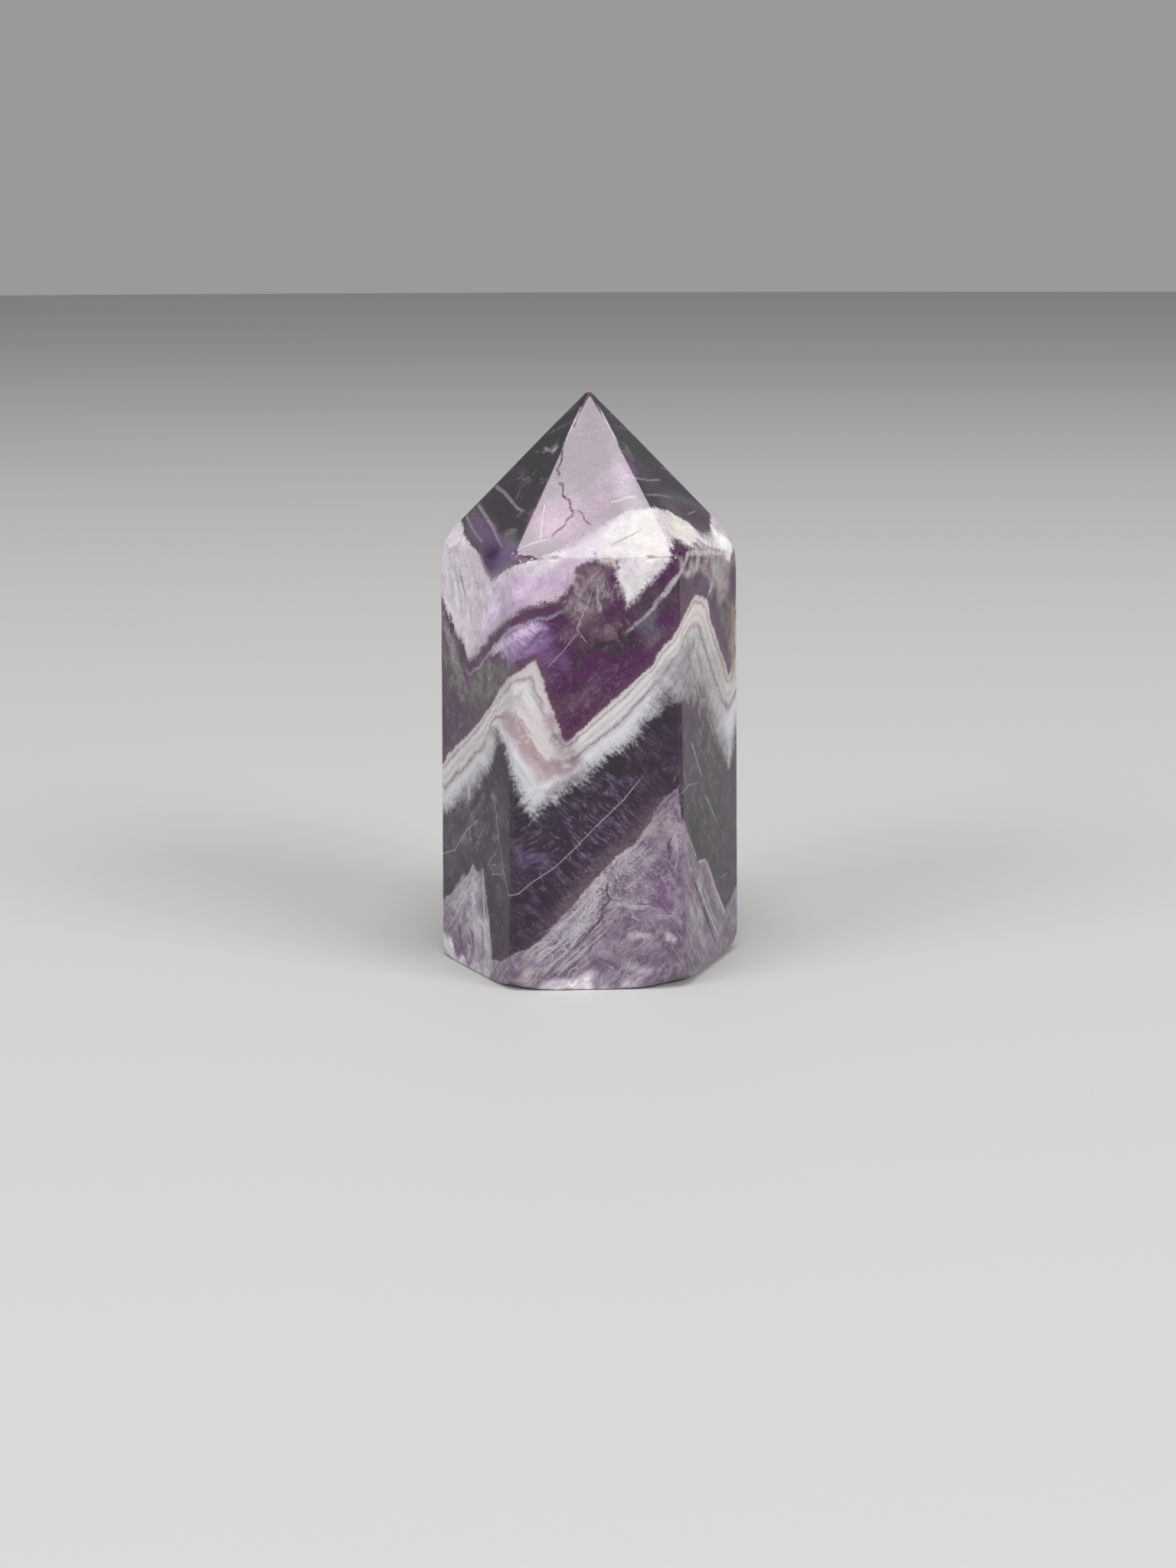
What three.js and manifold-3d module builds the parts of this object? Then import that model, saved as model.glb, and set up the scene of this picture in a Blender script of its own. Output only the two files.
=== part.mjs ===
// Dogtooth amethyst tower: a six-sided banded quartz point, sawn flat at the base and polished.
// Millimetres, +Z up. The origin is the middle of the base, on the axis below the tip.
import * as THREE from 'three';
import { ConvexGeometry } from 'three/addons/geometries/ConvexGeometry.js';
import { mergeVertices } from 'three/addons/utils/BufferGeometryUtils.js';
import Module from 'manifold-3d';

// Height of the finished stone, and how far above it the six ridges would meet if the tip were sharp.
const HEIGHT = 59.8;
const TIP_LOSS = 0.435;
const TIP_RADIUS = 0.9;

// The six sides, going round anticlockwise, seen from above, from the left of the front face.
// turn: the way the side faces, in degrees anticlockwise from +X.
// reach: its distance from the axis at the base.
// lean: degrees that it leans inwards on its way up, so a negative lean flares out.
// pitch: degrees that the facet above it, on the point, looks up.
// sink: how much lower than the others that facet crosses the axis.
// baseCorner, shoulderCorner: radius of the corner that the edge after this side makes with the base, and
// with the point.
const SIDES = [
  { turn: -149.4, reach: 14.37, lean: 0.3, pitch: 42.3, sink: 0, baseCorner: 2.2, shoulderCorner: 1.2 },
  { turn: -87.9, reach: 13.93, lean: -1.1, pitch: 43.3, sink: 0, baseCorner: 3.6, shoulderCorner: 1.4 },
  { turn: -23.6, reach: 14.29, lean: 0.8, pitch: 41.1, sink: 0, baseCorner: 2.5, shoulderCorner: 6.5 },
  { turn: 30.6, reach: 14.35, lean: 0.6, pitch: 41.0, sink: 0.3, baseCorner: 2.2, shoulderCorner: 2.0 },
  { turn: 92.1, reach: 13.93, lean: -1.1, pitch: 43.3, sink: 0, baseCorner: 2.6, shoulderCorner: 1.2 },
  { turn: 156.4, reach: 14.29, lean: 0.8, pitch: 41.1, sink: 0, baseCorner: 1.2, shoulderCorner: 4.0 },
];

// How far the polishing wheel has softened each place, and how many small flats follow an arc.
const POLISH_RADIUS = 0.45;
const SIDE_EDGE_LOSS = 0.14;
const FLATS_PER_CORNER = 6;
const FLATS_PER_TIP_ARC = 3;

// The rough block that the stone is ground from, and the fineness of a softened edge.
const ROUGH_WIDTH = 50;
const EDGE_SEGMENTS = 28;

const wasm = await Module();
wasm.setup();

// A closed three.js geometry as a solid that can be cut.
function toSolid(geometry) {
  geometry.deleteAttribute('normal');
  geometry.deleteAttribute('uv');
  const merged = mergeVertices(geometry);
  const vertProperties = new Float32Array(merged.attributes.position.array);
  const triVerts = new Uint32Array(merged.index.array);
  return new wasm.Manifold(new wasm.Mesh({ numProp: 3, vertProperties, triVerts }));
}

// A plane is the unit vector that it faces along, and its distance from the origin along it.
function plane(turn, pitch, throughPoint) {
  const turnAngle = THREE.MathUtils.degToRad(turn);
  const pitchAngle = THREE.MathUtils.degToRad(pitch);
  const facing = new THREE.Vector3(
    Math.cos(turnAngle) * Math.cos(pitchAngle),
    Math.sin(turnAngle) * Math.cos(pitchAngle),
    Math.sin(pitchAngle),
  );
  return { facing, distance: facing.dot(throughPoint) };
}

function sidePlane({ turn, reach, lean }) {
  const turnAngle = THREE.MathUtils.degToRad(turn);
  const foot = new THREE.Vector3(reach * Math.cos(turnAngle), reach * Math.sin(turnAngle), 0);
  return plane(turn, lean, foot);
}

function facetPlane({ turn, pitch, sink }) {
  return plane(turn, pitch, new THREE.Vector3(0, 0, HEIGHT + TIP_LOSS - sink));
}

// The plane that would bevel the edge between two planes evenly, touching that edge.
function edgePlane(first, second) {
  const sum = first.facing.clone().add(second.facing);
  const facing = sum.clone().normalize();
  return { facing, distance: (first.distance + second.distance) / sum.length() };
}

// Small flats that follow an arc of the given radius, rolled between two planes.
function roundedBetween(first, second, radius, count) {
  const flats = [];
  for (let step = 1; step <= count; step += 1) {
    const share = step / (count + 1);
    const mixed = first.facing.clone().multiplyScalar(1 - share).addScaledVector(second.facing, share);
    const length = mixed.length();
    const centreDistance = (1 - share) * (first.distance - radius) + share * (second.distance - radius);
    flats.push({ facing: mixed.normalize(), distance: centreDistance / length + radius });
  }
  return flats;
}

// Every flat that is ground on the stone: base, sides, point, tip, and the softened edges and corners.
function groundFlats() {
  const base = { facing: new THREE.Vector3(0, 0, -1), distance: 0 };
  const top = { facing: new THREE.Vector3(0, 0, 1), distance: HEIGHT };
  const flats = [base, top];
  SIDES.forEach((side, place) => {
    const next = SIDES[(place + 1) % SIDES.length];
    const sideEdge = edgePlane(sidePlane(side), sidePlane(next));
    const ridge = edgePlane(facetPlane(side), facetPlane(next));
    sideEdge.distance -= SIDE_EDGE_LOSS;
    flats.push(sidePlane(side), facetPlane(side), sideEdge);
    flats.push(...roundedBetween(sideEdge, base, side.baseCorner, FLATS_PER_CORNER));
    flats.push(...roundedBetween(sideEdge, ridge, side.shoulderCorner, FLATS_PER_CORNER));
    flats.push(...roundedBetween(facetPlane({ ...side, sink: 0 }), top, TIP_RADIUS, FLATS_PER_TIP_ARC));
  });
  return flats;
}

// What lies beyond a plane, as a block with one face on it.
function blockBeyond({ facing, distance }) {
  const size = 3 * ROUGH_WIDTH;
  const block = new THREE.BoxGeometry(size, size, size);
  block.translate(0, 0, size / 2);
  block.applyQuaternion(new THREE.Quaternion().setFromUnitVectors(new THREE.Vector3(0, 0, 1), facing));
  block.translate(facing.x * distance, facing.y * distance, facing.z * distance);
  return toSolid(block);
}

// The stone with sharp edges, smaller by the polish radius on every flat.
function sharpCore() {
  const rough = new THREE.BoxGeometry(ROUGH_WIDTH, ROUGH_WIDTH, 2 * HEIGHT);
  let core = toSolid(rough);
  groundFlats().forEach(({ facing, distance }) => {
    core = core.subtract(blockBeyond({ facing, distance: distance - POLISH_RADIUS }));
  });
  return core;
}

// The finished outside: the skin stretched over a ball of the polish radius in each corner of the core.
function polished(core) {
  const mesh = core.getMesh();
  const ball = new THREE.SphereGeometry(POLISH_RADIUS, EDGE_SEGMENTS, EDGE_SEGMENTS / 2);
  ball.rotateX(Math.PI / 2);
  const ballPoints = [];
  for (let i = 0; i < ball.attributes.position.count; i += 1) {
    ballPoints.push(new THREE.Vector3().fromBufferAttribute(ball.attributes.position, i));
  }
  const skinPoints = [];
  for (let i = 0; i < mesh.vertProperties.length; i += mesh.numProp) {
    const corner = new THREE.Vector3().fromArray(mesh.vertProperties, i);
    ballPoints.forEach((point) => skinPoints.push(point.clone().add(corner)));
  }
  const skin = new ConvexGeometry(skinPoints);
  skin.deleteAttribute('normal');
  return mergeVertices(skin, 1e-5);
}

const stone = polished(sharpCore());
stone.computeVertexNormals();

const amethyst = new THREE.MeshStandardMaterial({ color: 0x756679, roughness: 0.12, metalness: 0 });
const tower = new THREE.Mesh(stone, amethyst);
tower.name = 'amethyst_tower';

const model = new THREE.Group();
model.add(tower);

export default model;
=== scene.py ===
import math

import bpy
import numpy as np
from mathutils import Matrix, Vector


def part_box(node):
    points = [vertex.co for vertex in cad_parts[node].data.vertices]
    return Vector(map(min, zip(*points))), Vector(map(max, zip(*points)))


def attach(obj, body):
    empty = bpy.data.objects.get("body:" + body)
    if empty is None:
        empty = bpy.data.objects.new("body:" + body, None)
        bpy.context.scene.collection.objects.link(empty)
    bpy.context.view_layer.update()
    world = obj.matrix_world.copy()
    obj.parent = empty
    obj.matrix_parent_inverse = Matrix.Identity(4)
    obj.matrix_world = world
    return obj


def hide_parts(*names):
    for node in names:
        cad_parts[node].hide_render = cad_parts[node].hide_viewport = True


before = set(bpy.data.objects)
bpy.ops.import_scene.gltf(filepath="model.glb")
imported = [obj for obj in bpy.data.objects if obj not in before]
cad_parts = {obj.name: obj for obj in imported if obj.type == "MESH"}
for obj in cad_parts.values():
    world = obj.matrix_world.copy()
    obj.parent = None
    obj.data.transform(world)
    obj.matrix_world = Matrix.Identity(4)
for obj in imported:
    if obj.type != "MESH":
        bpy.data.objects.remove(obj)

# The looks of one polished amethyst tower. Lengths here are in millimetres until a mesh is made.
MM = 0.001
NODE = "amethyst_tower"
FACES = 6
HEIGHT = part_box(NODE)[1][2] / MM

# Camera, from a fit of the stone's corners: where it stands, how it is turned, and its focal length as a
# share of the picture's long side.
CAMERA_PLACE = (-0.73, -244.8, 74.1)
CAMERA_TURN = math.radians(0.11)
CAMERA_PITCH = math.radians(12.79)
CAMERA_ROLL = math.radians(-0.18)
FOCAL_SHARE = 1.5025
SENSOR = 36

# Softening of the edges, in mm of each surface that it takes away. The shoulder is crisp over the front and
# back faces and worn over the others. Faces are counted round the stone from 0, the one to the left of the
# front face, and a corner is at the end of the edge that comes after the face of its number.
RIDGE_SOFTNESS = 0.09
BLUNT_RIDGE_SOFTNESS = 0.24
SIDE_EDGE_SOFTNESS = 0.42
CRISP_SHOULDER_SOFTNESS = 0.07
WORN_SHOULDER_SOFTNESS = 0.5
CORNER_SOFTNESS = 0.3
BASE_CORNER_RADII = (2.2, 3.6, 2.5, 2.2, 2.6, 1.2)
SHOULDER_CORNER_SOFTNESS = {2: 1.9, 5: 1.2}
WORN_BASE_FACE = 2
WORN_BASE_RADIUS = 1.4
TIP_RADIUS = 0.9

# The ridges of the point grow blunt between these depths below the tip, in mm.
BLUNT_START = 3.4
BLUNT_END = 0.5

# The shoulder is crisp over the first of these and worn under the second, as the cosine of the angle between
# its direction from the axis and straight forwards or backwards.
CRISP_FACING = 0.93
WORN_FACING = 0.82

# The polish isn't quite flat: how deep its slight waves are and how long, in mm, and the seed of their draw.
POLISH_WAVE_DEPTH = 0.007
POLISH_WAVE_LENGTH = 4.5
POLISH_SEED = 21

# Two triangles lie on the same big flat when their normals are this much alike, and its area is over this
# in square mm.
SAME_FLAT = math.cos(math.radians(0.4))
SMALLEST_FLAT = 60

# A flat is a side when its normal is this near to level, and the base when its normal points down by this.
# The sides and the facets are counted from this direction on. The slope is how far a place lies under the
# next flat for each mm from the edge between the two.
LEVEL_NORMAL = 0.2
DOWN_NORMAL = -0.9
FIRST_DIRECTION = math.radians(-170)
EDGE_SLOPE = math.sin(math.radians(43))

# Keeps a share from being divided by nothing.
TINY = 1e-6

# Small chips on the edges: place around, height, radius of the bite and how deep it goes. A bite on the
# shoulder comes from outside and above, which is how far it rises for each mm outwards.
CHIP_RISE = 0.6
CHIPS = [
    (-0.45, 44.55, 0.6, 0.25), (-0.405, 44.5, 0.5, 0.24), (-0.25, 44.45, 0.6, 0.22), (0.33, 44.4, 0.5, 0.2),
    (0.5, 45.3, 0.6, 0.24), (-0.52, 45.0, 0.6, 0.24), (0.57, 44.7, 0.5, 0.22), (0.99, 44.6, 0.6, 0.2),
    (-0.5, 57.0, 0.4, 0.14), (0.5, 31.0, 0.5, 0.2), (-0.5, 8.0, 0.5, 0.2), (2.5, 44.6, 0.8, 0.34),
    (2.22, 44.5, 0.5, 0.22), (3.5, 44.7, 0.6, 0.26), (4.1, 44.5, 0.7, 0.28), (1.5, 14.0, 0.6, 0.24),
    (2.5, 30.5, 0.7, 0.28), (3.5, 6.6, 0.7, 0.3),
]

# Rings of the mesh: from height, to height, number of steps. They lie close together where an edge turns,
# and so do the columns in the zone beside an edge, which is a share of the face. The base is closed by
# smaller rings, as shares of the first. A place on the surface is found by halving the way from the axis to
# the widest so many times.
RING_BANDS = [
    (0.0, 0.6, 6), (0.6, 3.0, 10), (3.0, 43.4, 122), (43.4, 45.4, 22), (45.4, 58.4, 44), (58.4, 59.6, 14),
    (59.6, 59.775, 6),
]
EDGE_ZONE = 0.09
EDGE_STEPS = 12
MIDDLE_STEPS = 41
BASE_RINGS = (0.97, 0.85, 0.6, 0.3)
FIRST_HEIGHT = 0.002
WIDEST = 24.0
HALVINGS = 26

# Places on the stone are (around, height). around counts faces: 0 is the middle of the front face, 1 the
# middle of the face to its right, -1 of the one to its left, and the edges are at the halves. Height is in
# mm. Each outline goes once round the stone, from the edge at the far left, and joins up with itself.
AROUND_START = -1.5
FACE_WIDTH = 16.0

MOTTLED_TOP = [
    (-1.5, 5.9), (-1.3, 7.9), (-1.1, 10.3), (-1.03, 11.7), (-0.97, 11.1), (-0.88, 12.0), (-0.82, 7.3),
    (-0.76, 2.3), (-0.62, 2.6), (-0.5, 3.8), (-0.33, 5.2), (-0.18, 8.2), (-0.08, 10.6), (0.1, 14.0),
    (0.22, 15.4), (0.32, 18.4), (0.4, 20.2), (0.48, 21.3), (0.5, 18.0), (0.6, 15.8), (0.75, 12.8),
    (0.9, 12.2), (1.0, 9.9), (1.24, 5.3), (1.4, 6.2), (1.5, 7.5), (1.75, 11.6), (2.05, 4.8), (2.4, 8.8),
    (2.72, 13.4), (2.95, 9.0), (3.2, 3.2), (3.5, 5.6), (3.9, 12.6), (4.2, 8.8),
]
WHITE_FOOT = [
    (-1.5, 15.8), (-1.35, 16.8), (-1.2, 18.6), (-1.05, 19.6), (-0.9, 22.0), (-0.8, 22.8), (-0.71, 26.6),
    (-0.6, 25.2), (-0.5, 22.4), (-0.46, 20.6), (-0.39, 18.4), (-0.3, 19.7), (-0.1, 22.0), (0.2, 26.1),
    (0.3, 28.4), (0.45, 31.5), (0.52, 33.0), (0.68, 35.0), (0.85, 31.5), (1.05, 27.2), (1.25, 22.8),
    (1.34, 20.4), (1.4, 22.0), (1.5, 25.2), (1.7, 28.6), (2.05, 19.2), (2.2, 15.2), (2.5, 20.4),
    (2.9, 26.3), (3.15, 20.8), (3.4, 14.6), (3.8, 20.2), (4.15, 24.4), (4.35, 19.0),
]
WHITE_TOP = [
    (-1.5, 21.0), (-1.3, 23.4), (-1.1, 25.4), (-0.9, 27.6), (-0.75, 29.7), (-0.57, 32.5), (-0.47, 33.5),
    (-0.37, 34.6), (-0.31, 31.4), (-0.22, 27.4), (-0.17, 26.1), (-0.05, 28.1), (0.15, 31.2), (0.32, 33.5),
    (0.38, 35.2), (0.5, 37.6), (0.6, 38.7), (0.76, 40.4), (0.9, 39.8), (0.99, 39.2), (1.03, 37.2),
    (1.15, 34.4), (1.33, 30.5), (1.42, 31.7), (1.5, 33.0), (1.68, 36.4), (2.0, 27.6), (2.18, 22.0),
    (2.5, 28.2), (2.88, 34.6), (3.1, 29.0), (3.38, 21.6), (3.8, 27.8), (4.12, 32.4), (4.35, 26.0),
]
LAVENDER_FOOT = [
    (-1.5, 39.6), (-1.35, 36.5), (-1.2, 34.2), (-1.1, 33.0), (-1.0, 33.7), (-0.8, 36.3), (-0.6, 38.3),
    (-0.4, 39.6), (-0.2, 40.7), (-0.12, 42.6), (-0.04, 44.1), (0.04, 44.0), (0.12, 42.4), (0.19, 39.4),
    (0.26, 40.8), (0.42, 43.2), (0.49, 45.0), (0.55, 45.9), (0.66, 45.7), (0.76, 44.9), (0.95, 44.5),
    (1.08, 44.0), (1.2, 43.2), (1.36, 42.4), (1.5, 44.6), (1.75, 46.5), (2.0, 42.0), (2.2, 37.8),
    (2.6, 42.6), (2.95, 46.0), (3.2, 42.4), (3.45, 36.4), (3.9, 40.8), (4.2, 43.8), (4.35, 41.8),
]
LAVENDER_TOP = [
    (-1.5, 46.8), (-1.15, 45.3), (-0.96, 44.4), (-0.85, 42.6), (-0.78, 41.8), (-0.65, 42.9), (-0.5, 44.0),
    (-0.4, 44.4), (-0.2, 45.2), (0.0, 46.7), (0.1, 47.7), (0.3, 48.8), (0.5, 49.0), (0.8, 48.3),
    (1.0, 47.0), (1.08, 45.6), (1.2, 45.6), (1.4, 46.8), (1.5, 47.2), (1.8, 49.6), (2.15, 45.4),
    (2.6, 47.6), (2.95, 50.6), (3.4, 44.4), (3.8, 47.4), (4.2, 49.2),
]
OUTLINES = {
    "mottled_top": MOTTLED_TOP, "white_foot": WHITE_FOOT, "white_top": WHITE_TOP,
    "lavender_foot": LAVENDER_FOOT, "lavender_top": LAVENDER_TOP,
}

# How far an outline may stray from the straight run of its limb, how far from an outline its direction
# starts to count less, and between which upward parts of that direction a layer turns from rising to
# falling.
LIMB_TOLERANCE = 1.6
LIMB_REACH = 0.5
FALLING_TURN = (0.25, -0.25)

# How far a line is felt beyond its width, over how many mm that ends, and the part of its length over which
# it fades at either end, as one in so many. Its edge wanders and is blurred by so many mm.
LINE_REACH = 0.35
LINE_FADE = 0.3
LINE_ENDS = 12
LINE_WANDER = 0.2
LINE_BLUR = 0.05

# Healed fractures that show as pale lines: width in mm, strength from 0 to 1, then the way of the line.
PALE_LINES = [
    (0.13, 0.5, [(-0.74, 20.0), (-0.68, 15.7), (-0.6, 12.1), (-0.54, 10.1), (-0.46, 10.4), (-0.38, 11.6),
                 (-0.25, 13.1), (-0.12, 15.3), (0.0, 17.5), (0.15, 20.0), (0.24, 21.9), (0.3, 23.1)]),
    (0.16, 0.5, [(-1.5, 11.2), (-1.3, 12.3), (-1.13, 15.0), (-0.98, 16.5)]),
    (0.1, 0.5, [(-0.78, 11.5), (-0.6, 12.1)]),
    (0.08, 0.5, [(-0.77, 12.5), (-0.7, 12.8)]),
    (0.13, 0.5, [(0.49, 20.6), (0.6, 21.15), (0.66, 21.1), (0.77, 20.8)]),
    (0.1, 0.5, [(1.14, 9.3), (1.18, 9.1), (1.28, 9.25)]),
    (0.3, 0.5, [(0.66, 25.6), (0.72, 24.3), (0.78, 22.7), (0.85, 21.2)]),
    (0.24, 0.5, [(0.9, 19.2), (1.0, 17.4), (1.09, 15.6)]),
    (0.12, 0.5, [(0.19, 8.95), (0.29, 8.9), (0.35, 8.5)]),
    (0.12, 0.5, [(0.19, 8.7), (0.205, 7.7), (0.24, 7.4)]),
    (0.12, 0.5, [(0.36, 8.0), (0.44, 7.8)]),
    (0.12, 0.5, [(-0.5, 45.3), (-0.4, 46.0), (-0.3, 46.3)]),
    (0.14, 0.5, [(0.15, 49.5), (0.3, 49.9), (0.42, 50.1)]),
    (0.2, 0.35, [(0.36, 52.1), (0.5, 51.7), (0.8, 51.3), (1.1, 51.1)]),
    (0.2, 0.3, [(0.5, 50.2), (0.8, 49.9), (1.05, 49.4)]),
    (0.1, 0.5, [(1.08, 47.7), (1.3, 47.8)]),
    (0.3, 0.3, [(-1.5, 50.4), (-1.2, 49.9), (-1.0, 49.4), (-0.8, 48.8), (-0.64, 48.6)]),
    (0.3, 0.4, [(-1.5, 48.6), (-1.25, 47.8), (-1.0, 46.9), (-0.8, 45.9), (-0.66, 45.2)]),
    (0.24, 0.3, [(-1.5, 47.4), (-1.3, 46.6), (-1.15, 46.0), (-0.95, 45.3)]),
    (0.3, 0.3, [(-1.1, 54.4), (-0.76, 54.1)]),
    (0.12, 0.5, [(-0.43, 49.6), (-0.4, 47.8), (-0.36, 46.2)]),
    (0.12, 0.5, [(-0.05, 36.0), (-0.12, 37.6), (-0.06, 39.6), (-0.02, 41.4)]),
    (0.1, 0.5, [(-0.3, 33.6), (-0.2, 35.3), (-0.13, 36.8), (-0.08, 38.6)]),
    (0.12, 0.5, [(0.98, 39.4), (1.03, 40.0), (1.1, 40.6)]),
    (0.12, 0.5, [(1.5, 20.8), (1.8, 17.2), (2.1, 10.6), (2.3, 13.0), (2.7, 18.9)]),
    (0.12, 0.5, [(2.9, 18.3), (3.3, 9.4), (3.6, 12.4), (3.9, 16.8), (4.3, 13.2)]),
    (0.14, 0.5, [(2.0, 33.0), (2.2, 30.4), (2.5, 35.4), (2.8, 38.8)]),
    (0.12, 0.5, [(3.2, 34.6), (3.42, 29.6), (3.7, 33.6), (4.0, 36.2)]),
    (0.14, 0.5, [(1.8, 52.0), (2.3, 51.2), (2.7, 53.0)]),
    (0.14, 0.5, [(3.2, 50.8), (3.8, 51.8), (4.2, 50.4)]),
    # In the foot of the front face.
    (0.2, 0.6, [(-0.02, 8.2), (-0.15, 6.2), (-0.26, 4.4), (-0.36, 3.0)]),
    (0.18, 0.6, [(0.03, 7.4), (-0.09, 5.4), (-0.21, 3.6), (-0.3, 2.4)]),
    (0.16, 0.5, [(0.07, 6.8), (-0.04, 4.9), (-0.16, 3.1), (-0.24, 1.8)]),
    (0.24, 0.6, [(0.02, 11.6), (-0.04, 10.0), (-0.14, 8.2), (-0.26, 6.2)]),
    (0.16, 0.35, [(0.46, 17.2), (0.47, 14.6), (0.45, 12.4)]),
    # In the fan low on the right face.
    (0.4, 0.5, [(0.5, 18.2), (0.6, 15.9), (0.74, 12.9)]),
    (0.36, 0.6, [(0.76, 12.5), (0.9, 12.2)]),
    (0.5, 0.7, [(0.9, 12.1), (1.05, 8.8), (1.25, 4.6)]),
    (0.34, 0.8, [(0.73, 10.9), (0.9, 7.0), (1.1, 3.2)]),
    (0.24, 0.4, [(0.5, 16.4), (0.58, 13.4), (0.7, 10.6)]),
    # In the pale wedge low on the left face.
    (0.4, 0.8, [(-0.9, 11.4), (-0.875, 7.0), (-0.83, 3.5), (-0.8, 1.2)]),
    (0.3, 0.7, [(-1.02, 10.2), (-1.04, 6.5), (-1.01, 3.5), (-0.97, 1.0)]),
    (0.26, 0.6, [(-0.98, 10.8), (-1.12, 8.4), (-1.3, 5.0)]),
    (0.24, 0.5, [(-1.06, 10.8), (-1.24, 8.6), (-1.42, 6.4)]),
]

# Open or stained fractures that show as dark lines.
DARK_LINES = [
    (0.5, 0.9, [(-0.5, 54.6), (-0.42, 53.4), (-0.44, 52.6), (-0.37, 51.9)]),
    (0.4, 0.9, [(-0.38, 51.4), (-0.31, 51.1), (-0.29, 50.2), (-0.21, 49.7), (-0.2, 49.0), (-0.14, 48.5)]),
    (0.3, 0.8, [(-0.15, 48.4), (-0.21, 48.1), (-0.22, 47.4), (-0.27, 47.0), (-0.3, 46.3)]),
    (0.25, 0.8, [(-0.14, 48.9), (-0.09, 48.6), (-0.07, 47.9), (-0.02, 47.5)]),
    (0.16, 0.8, [(-1.23, 42.4), (-1.19, 41.2), (-1.15, 39.9), (-1.13, 39.2)]),
    (0.2, 0.8, [(-0.5, 44.55), (-0.42, 44.45)]),
    (0.14, 0.35, [(0.1, 45.6), (0.17, 46.1), (0.25, 46.5), (0.35, 47.1)]),
    (0.14, 0.8, [(1.75, 43.6), (1.9, 41.0), (1.97, 38.6)]),
    (0.14, 0.8, [(2.6, 55.2), (2.75, 53.0), (2.7, 50.9)]),
    (0.12, 0.8, [(3.9, 46.4), (3.98, 44.2), (4.1, 42.6)]),
    (0.3, 0.8, [(0.07, 12.0), (0.05, 10.6), (0.07, 9.6), (0.02, 8.6), (0.03, 7.8), (-0.1, 5.2),
                (-0.18, 4.0)]),
    (0.24, 0.7, [(0.44, 16.4), (0.41, 15.2), (0.43, 14.4), (0.41, 13.6)]),
    (0.3, 0.7, [(0.62, 12.4), (0.76, 9.0), (0.94, 5.0), (1.08, 2.0)]),
]

# The angle of a layer where it rises to the right and where it falls, and of the pale hairs in the veils,
# in degrees above the horizontal.
RISING_ANGLE = 45
FALLING_ANGLE = -56
HAIR_ANGLE = 70

# The outlines wander a little and the patches of colour a lot, as waves over the stone: how far in mm, and
# how long a wave is in mm. Each is a sum of so many plain waves, whose lengths are spread by these factors.
OUTLINE_WAVES = [(0.08, 6.0), (0.05, 1.6)]
PATCH_WAVES = [(0.9, 7.0), (0.5, 2.4)]
WAVES_EACH = 14
WAVE_SPREAD = (0.7, 1.5)

# Colours are linear. Each layer has a base colour, and soft patches change it: (place around, height, half
# width and half height in mm, degrees of tilt anticlockwise), then the colour at the patch's middle. A
# patch is whole within the core, which is a share of its half width and half height. The white layer has
# its colours across it in tables below, so here it only has a tint.
PATCH_CORE = 0.2
MOTTLED_BASE = np.array((0.155, 0.098, 0.16))
WHITE_TINT = np.array((1.06, 1.09, 1.09))
LAVENDER_BASE = np.array((0.60, 0.53, 0.59))
MILKY_PATCHES = [
    ((0.4, 10, 4, 4.5, 0), (0.145, 0.08, 0.16)), ((-0.08, 0.7, 8, 2.4, 0), (0.74, 0.68, 0.74)),
    ((-0.15, 8, 8, 2.4, 50), (0.21, 0.17, 0.22)), ((0.3, 17.5, 3, 3, 0), (0.22, 0.15, 0.19)),
    ((0.7, 14.5, 5, 3, -60), (0.035, 0.015, 0.022)), ((0.85, 7.5, 7, 5, -55), (0.12, 0.095, 0.12)),
    ((0.74, 8.4, 4.4, 3.2, -60), (0.27, 0.23, 0.27)), ((0.62, 2.6, 2.6, 2.2, -40), (0.07, 0.055, 0.065)),
    ((1.3, 5, 5, 4, 0), (0.13, 0.105, 0.13)), ((-1.2, 8.5, 5, 3, 40), (0.37, 0.34, 0.38)),
    ((-1.25, 3.4, 4.0, 3.0, 30), (0.14, 0.08, 0.16)), ((-0.95, 5, 9, 2.6, -80), (0.40, 0.36, 0.42)),
    ((-1.2, 0.5, 9, 2.2, 0), (0.62, 0.59, 0.62)), ((-0.42, 3.4, 2.4, 1.3, 30), (0.29, 0.25, 0.27)),
    ((2.4, 4, 8, 3, 20), (0.13, 0.07, 0.15)), ((3.4, 3, 7, 2.4, -20), (0.32, 0.28, 0.34)),
    ((0.7, 37.6, 5, 2.6, 0), (1.28, 1.20, 1.16)), ((1.1, 31.5, 8, 7, -55), (0.76, 0.73, 0.73)),
    ((-0.22, 24.0, 3.6, 1.0, 42), (0.62, 0.58, 0.60)), ((-0.45, 42, 7, 3.6, 20), (0.50, 0.385, 0.525)),
    ((-0.72, 39.2, 7, 2.6, 30), (0.70, 0.58, 0.75)), ((-1.3, 41, 5, 7, 0), (0.67, 0.61, 0.67)),
    ((0.3, 46.6, 8, 3.6, 20), (0.70, 0.64, 0.62)), ((0.3, 42.6, 4, 2.0, 30), (0.62, 0.59, 0.61)),
    ((0.8, 47.3, 6, 2.4, -10), (0.66, 0.62, 0.59)), ((1.3, 44.4, 7, 2.4, -20), (0.84, 0.83, 0.80)),
    ((-0.06, 43.7, 1.6, 0.8, 30), (0.45, 0.34, 0.29)), ((2.4, 44, 9, 4, 30), (0.66, 0.55, 0.70)),
    ((3.6, 41, 9, 4, -20), (0.54, 0.45, 0.58)),
]
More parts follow.
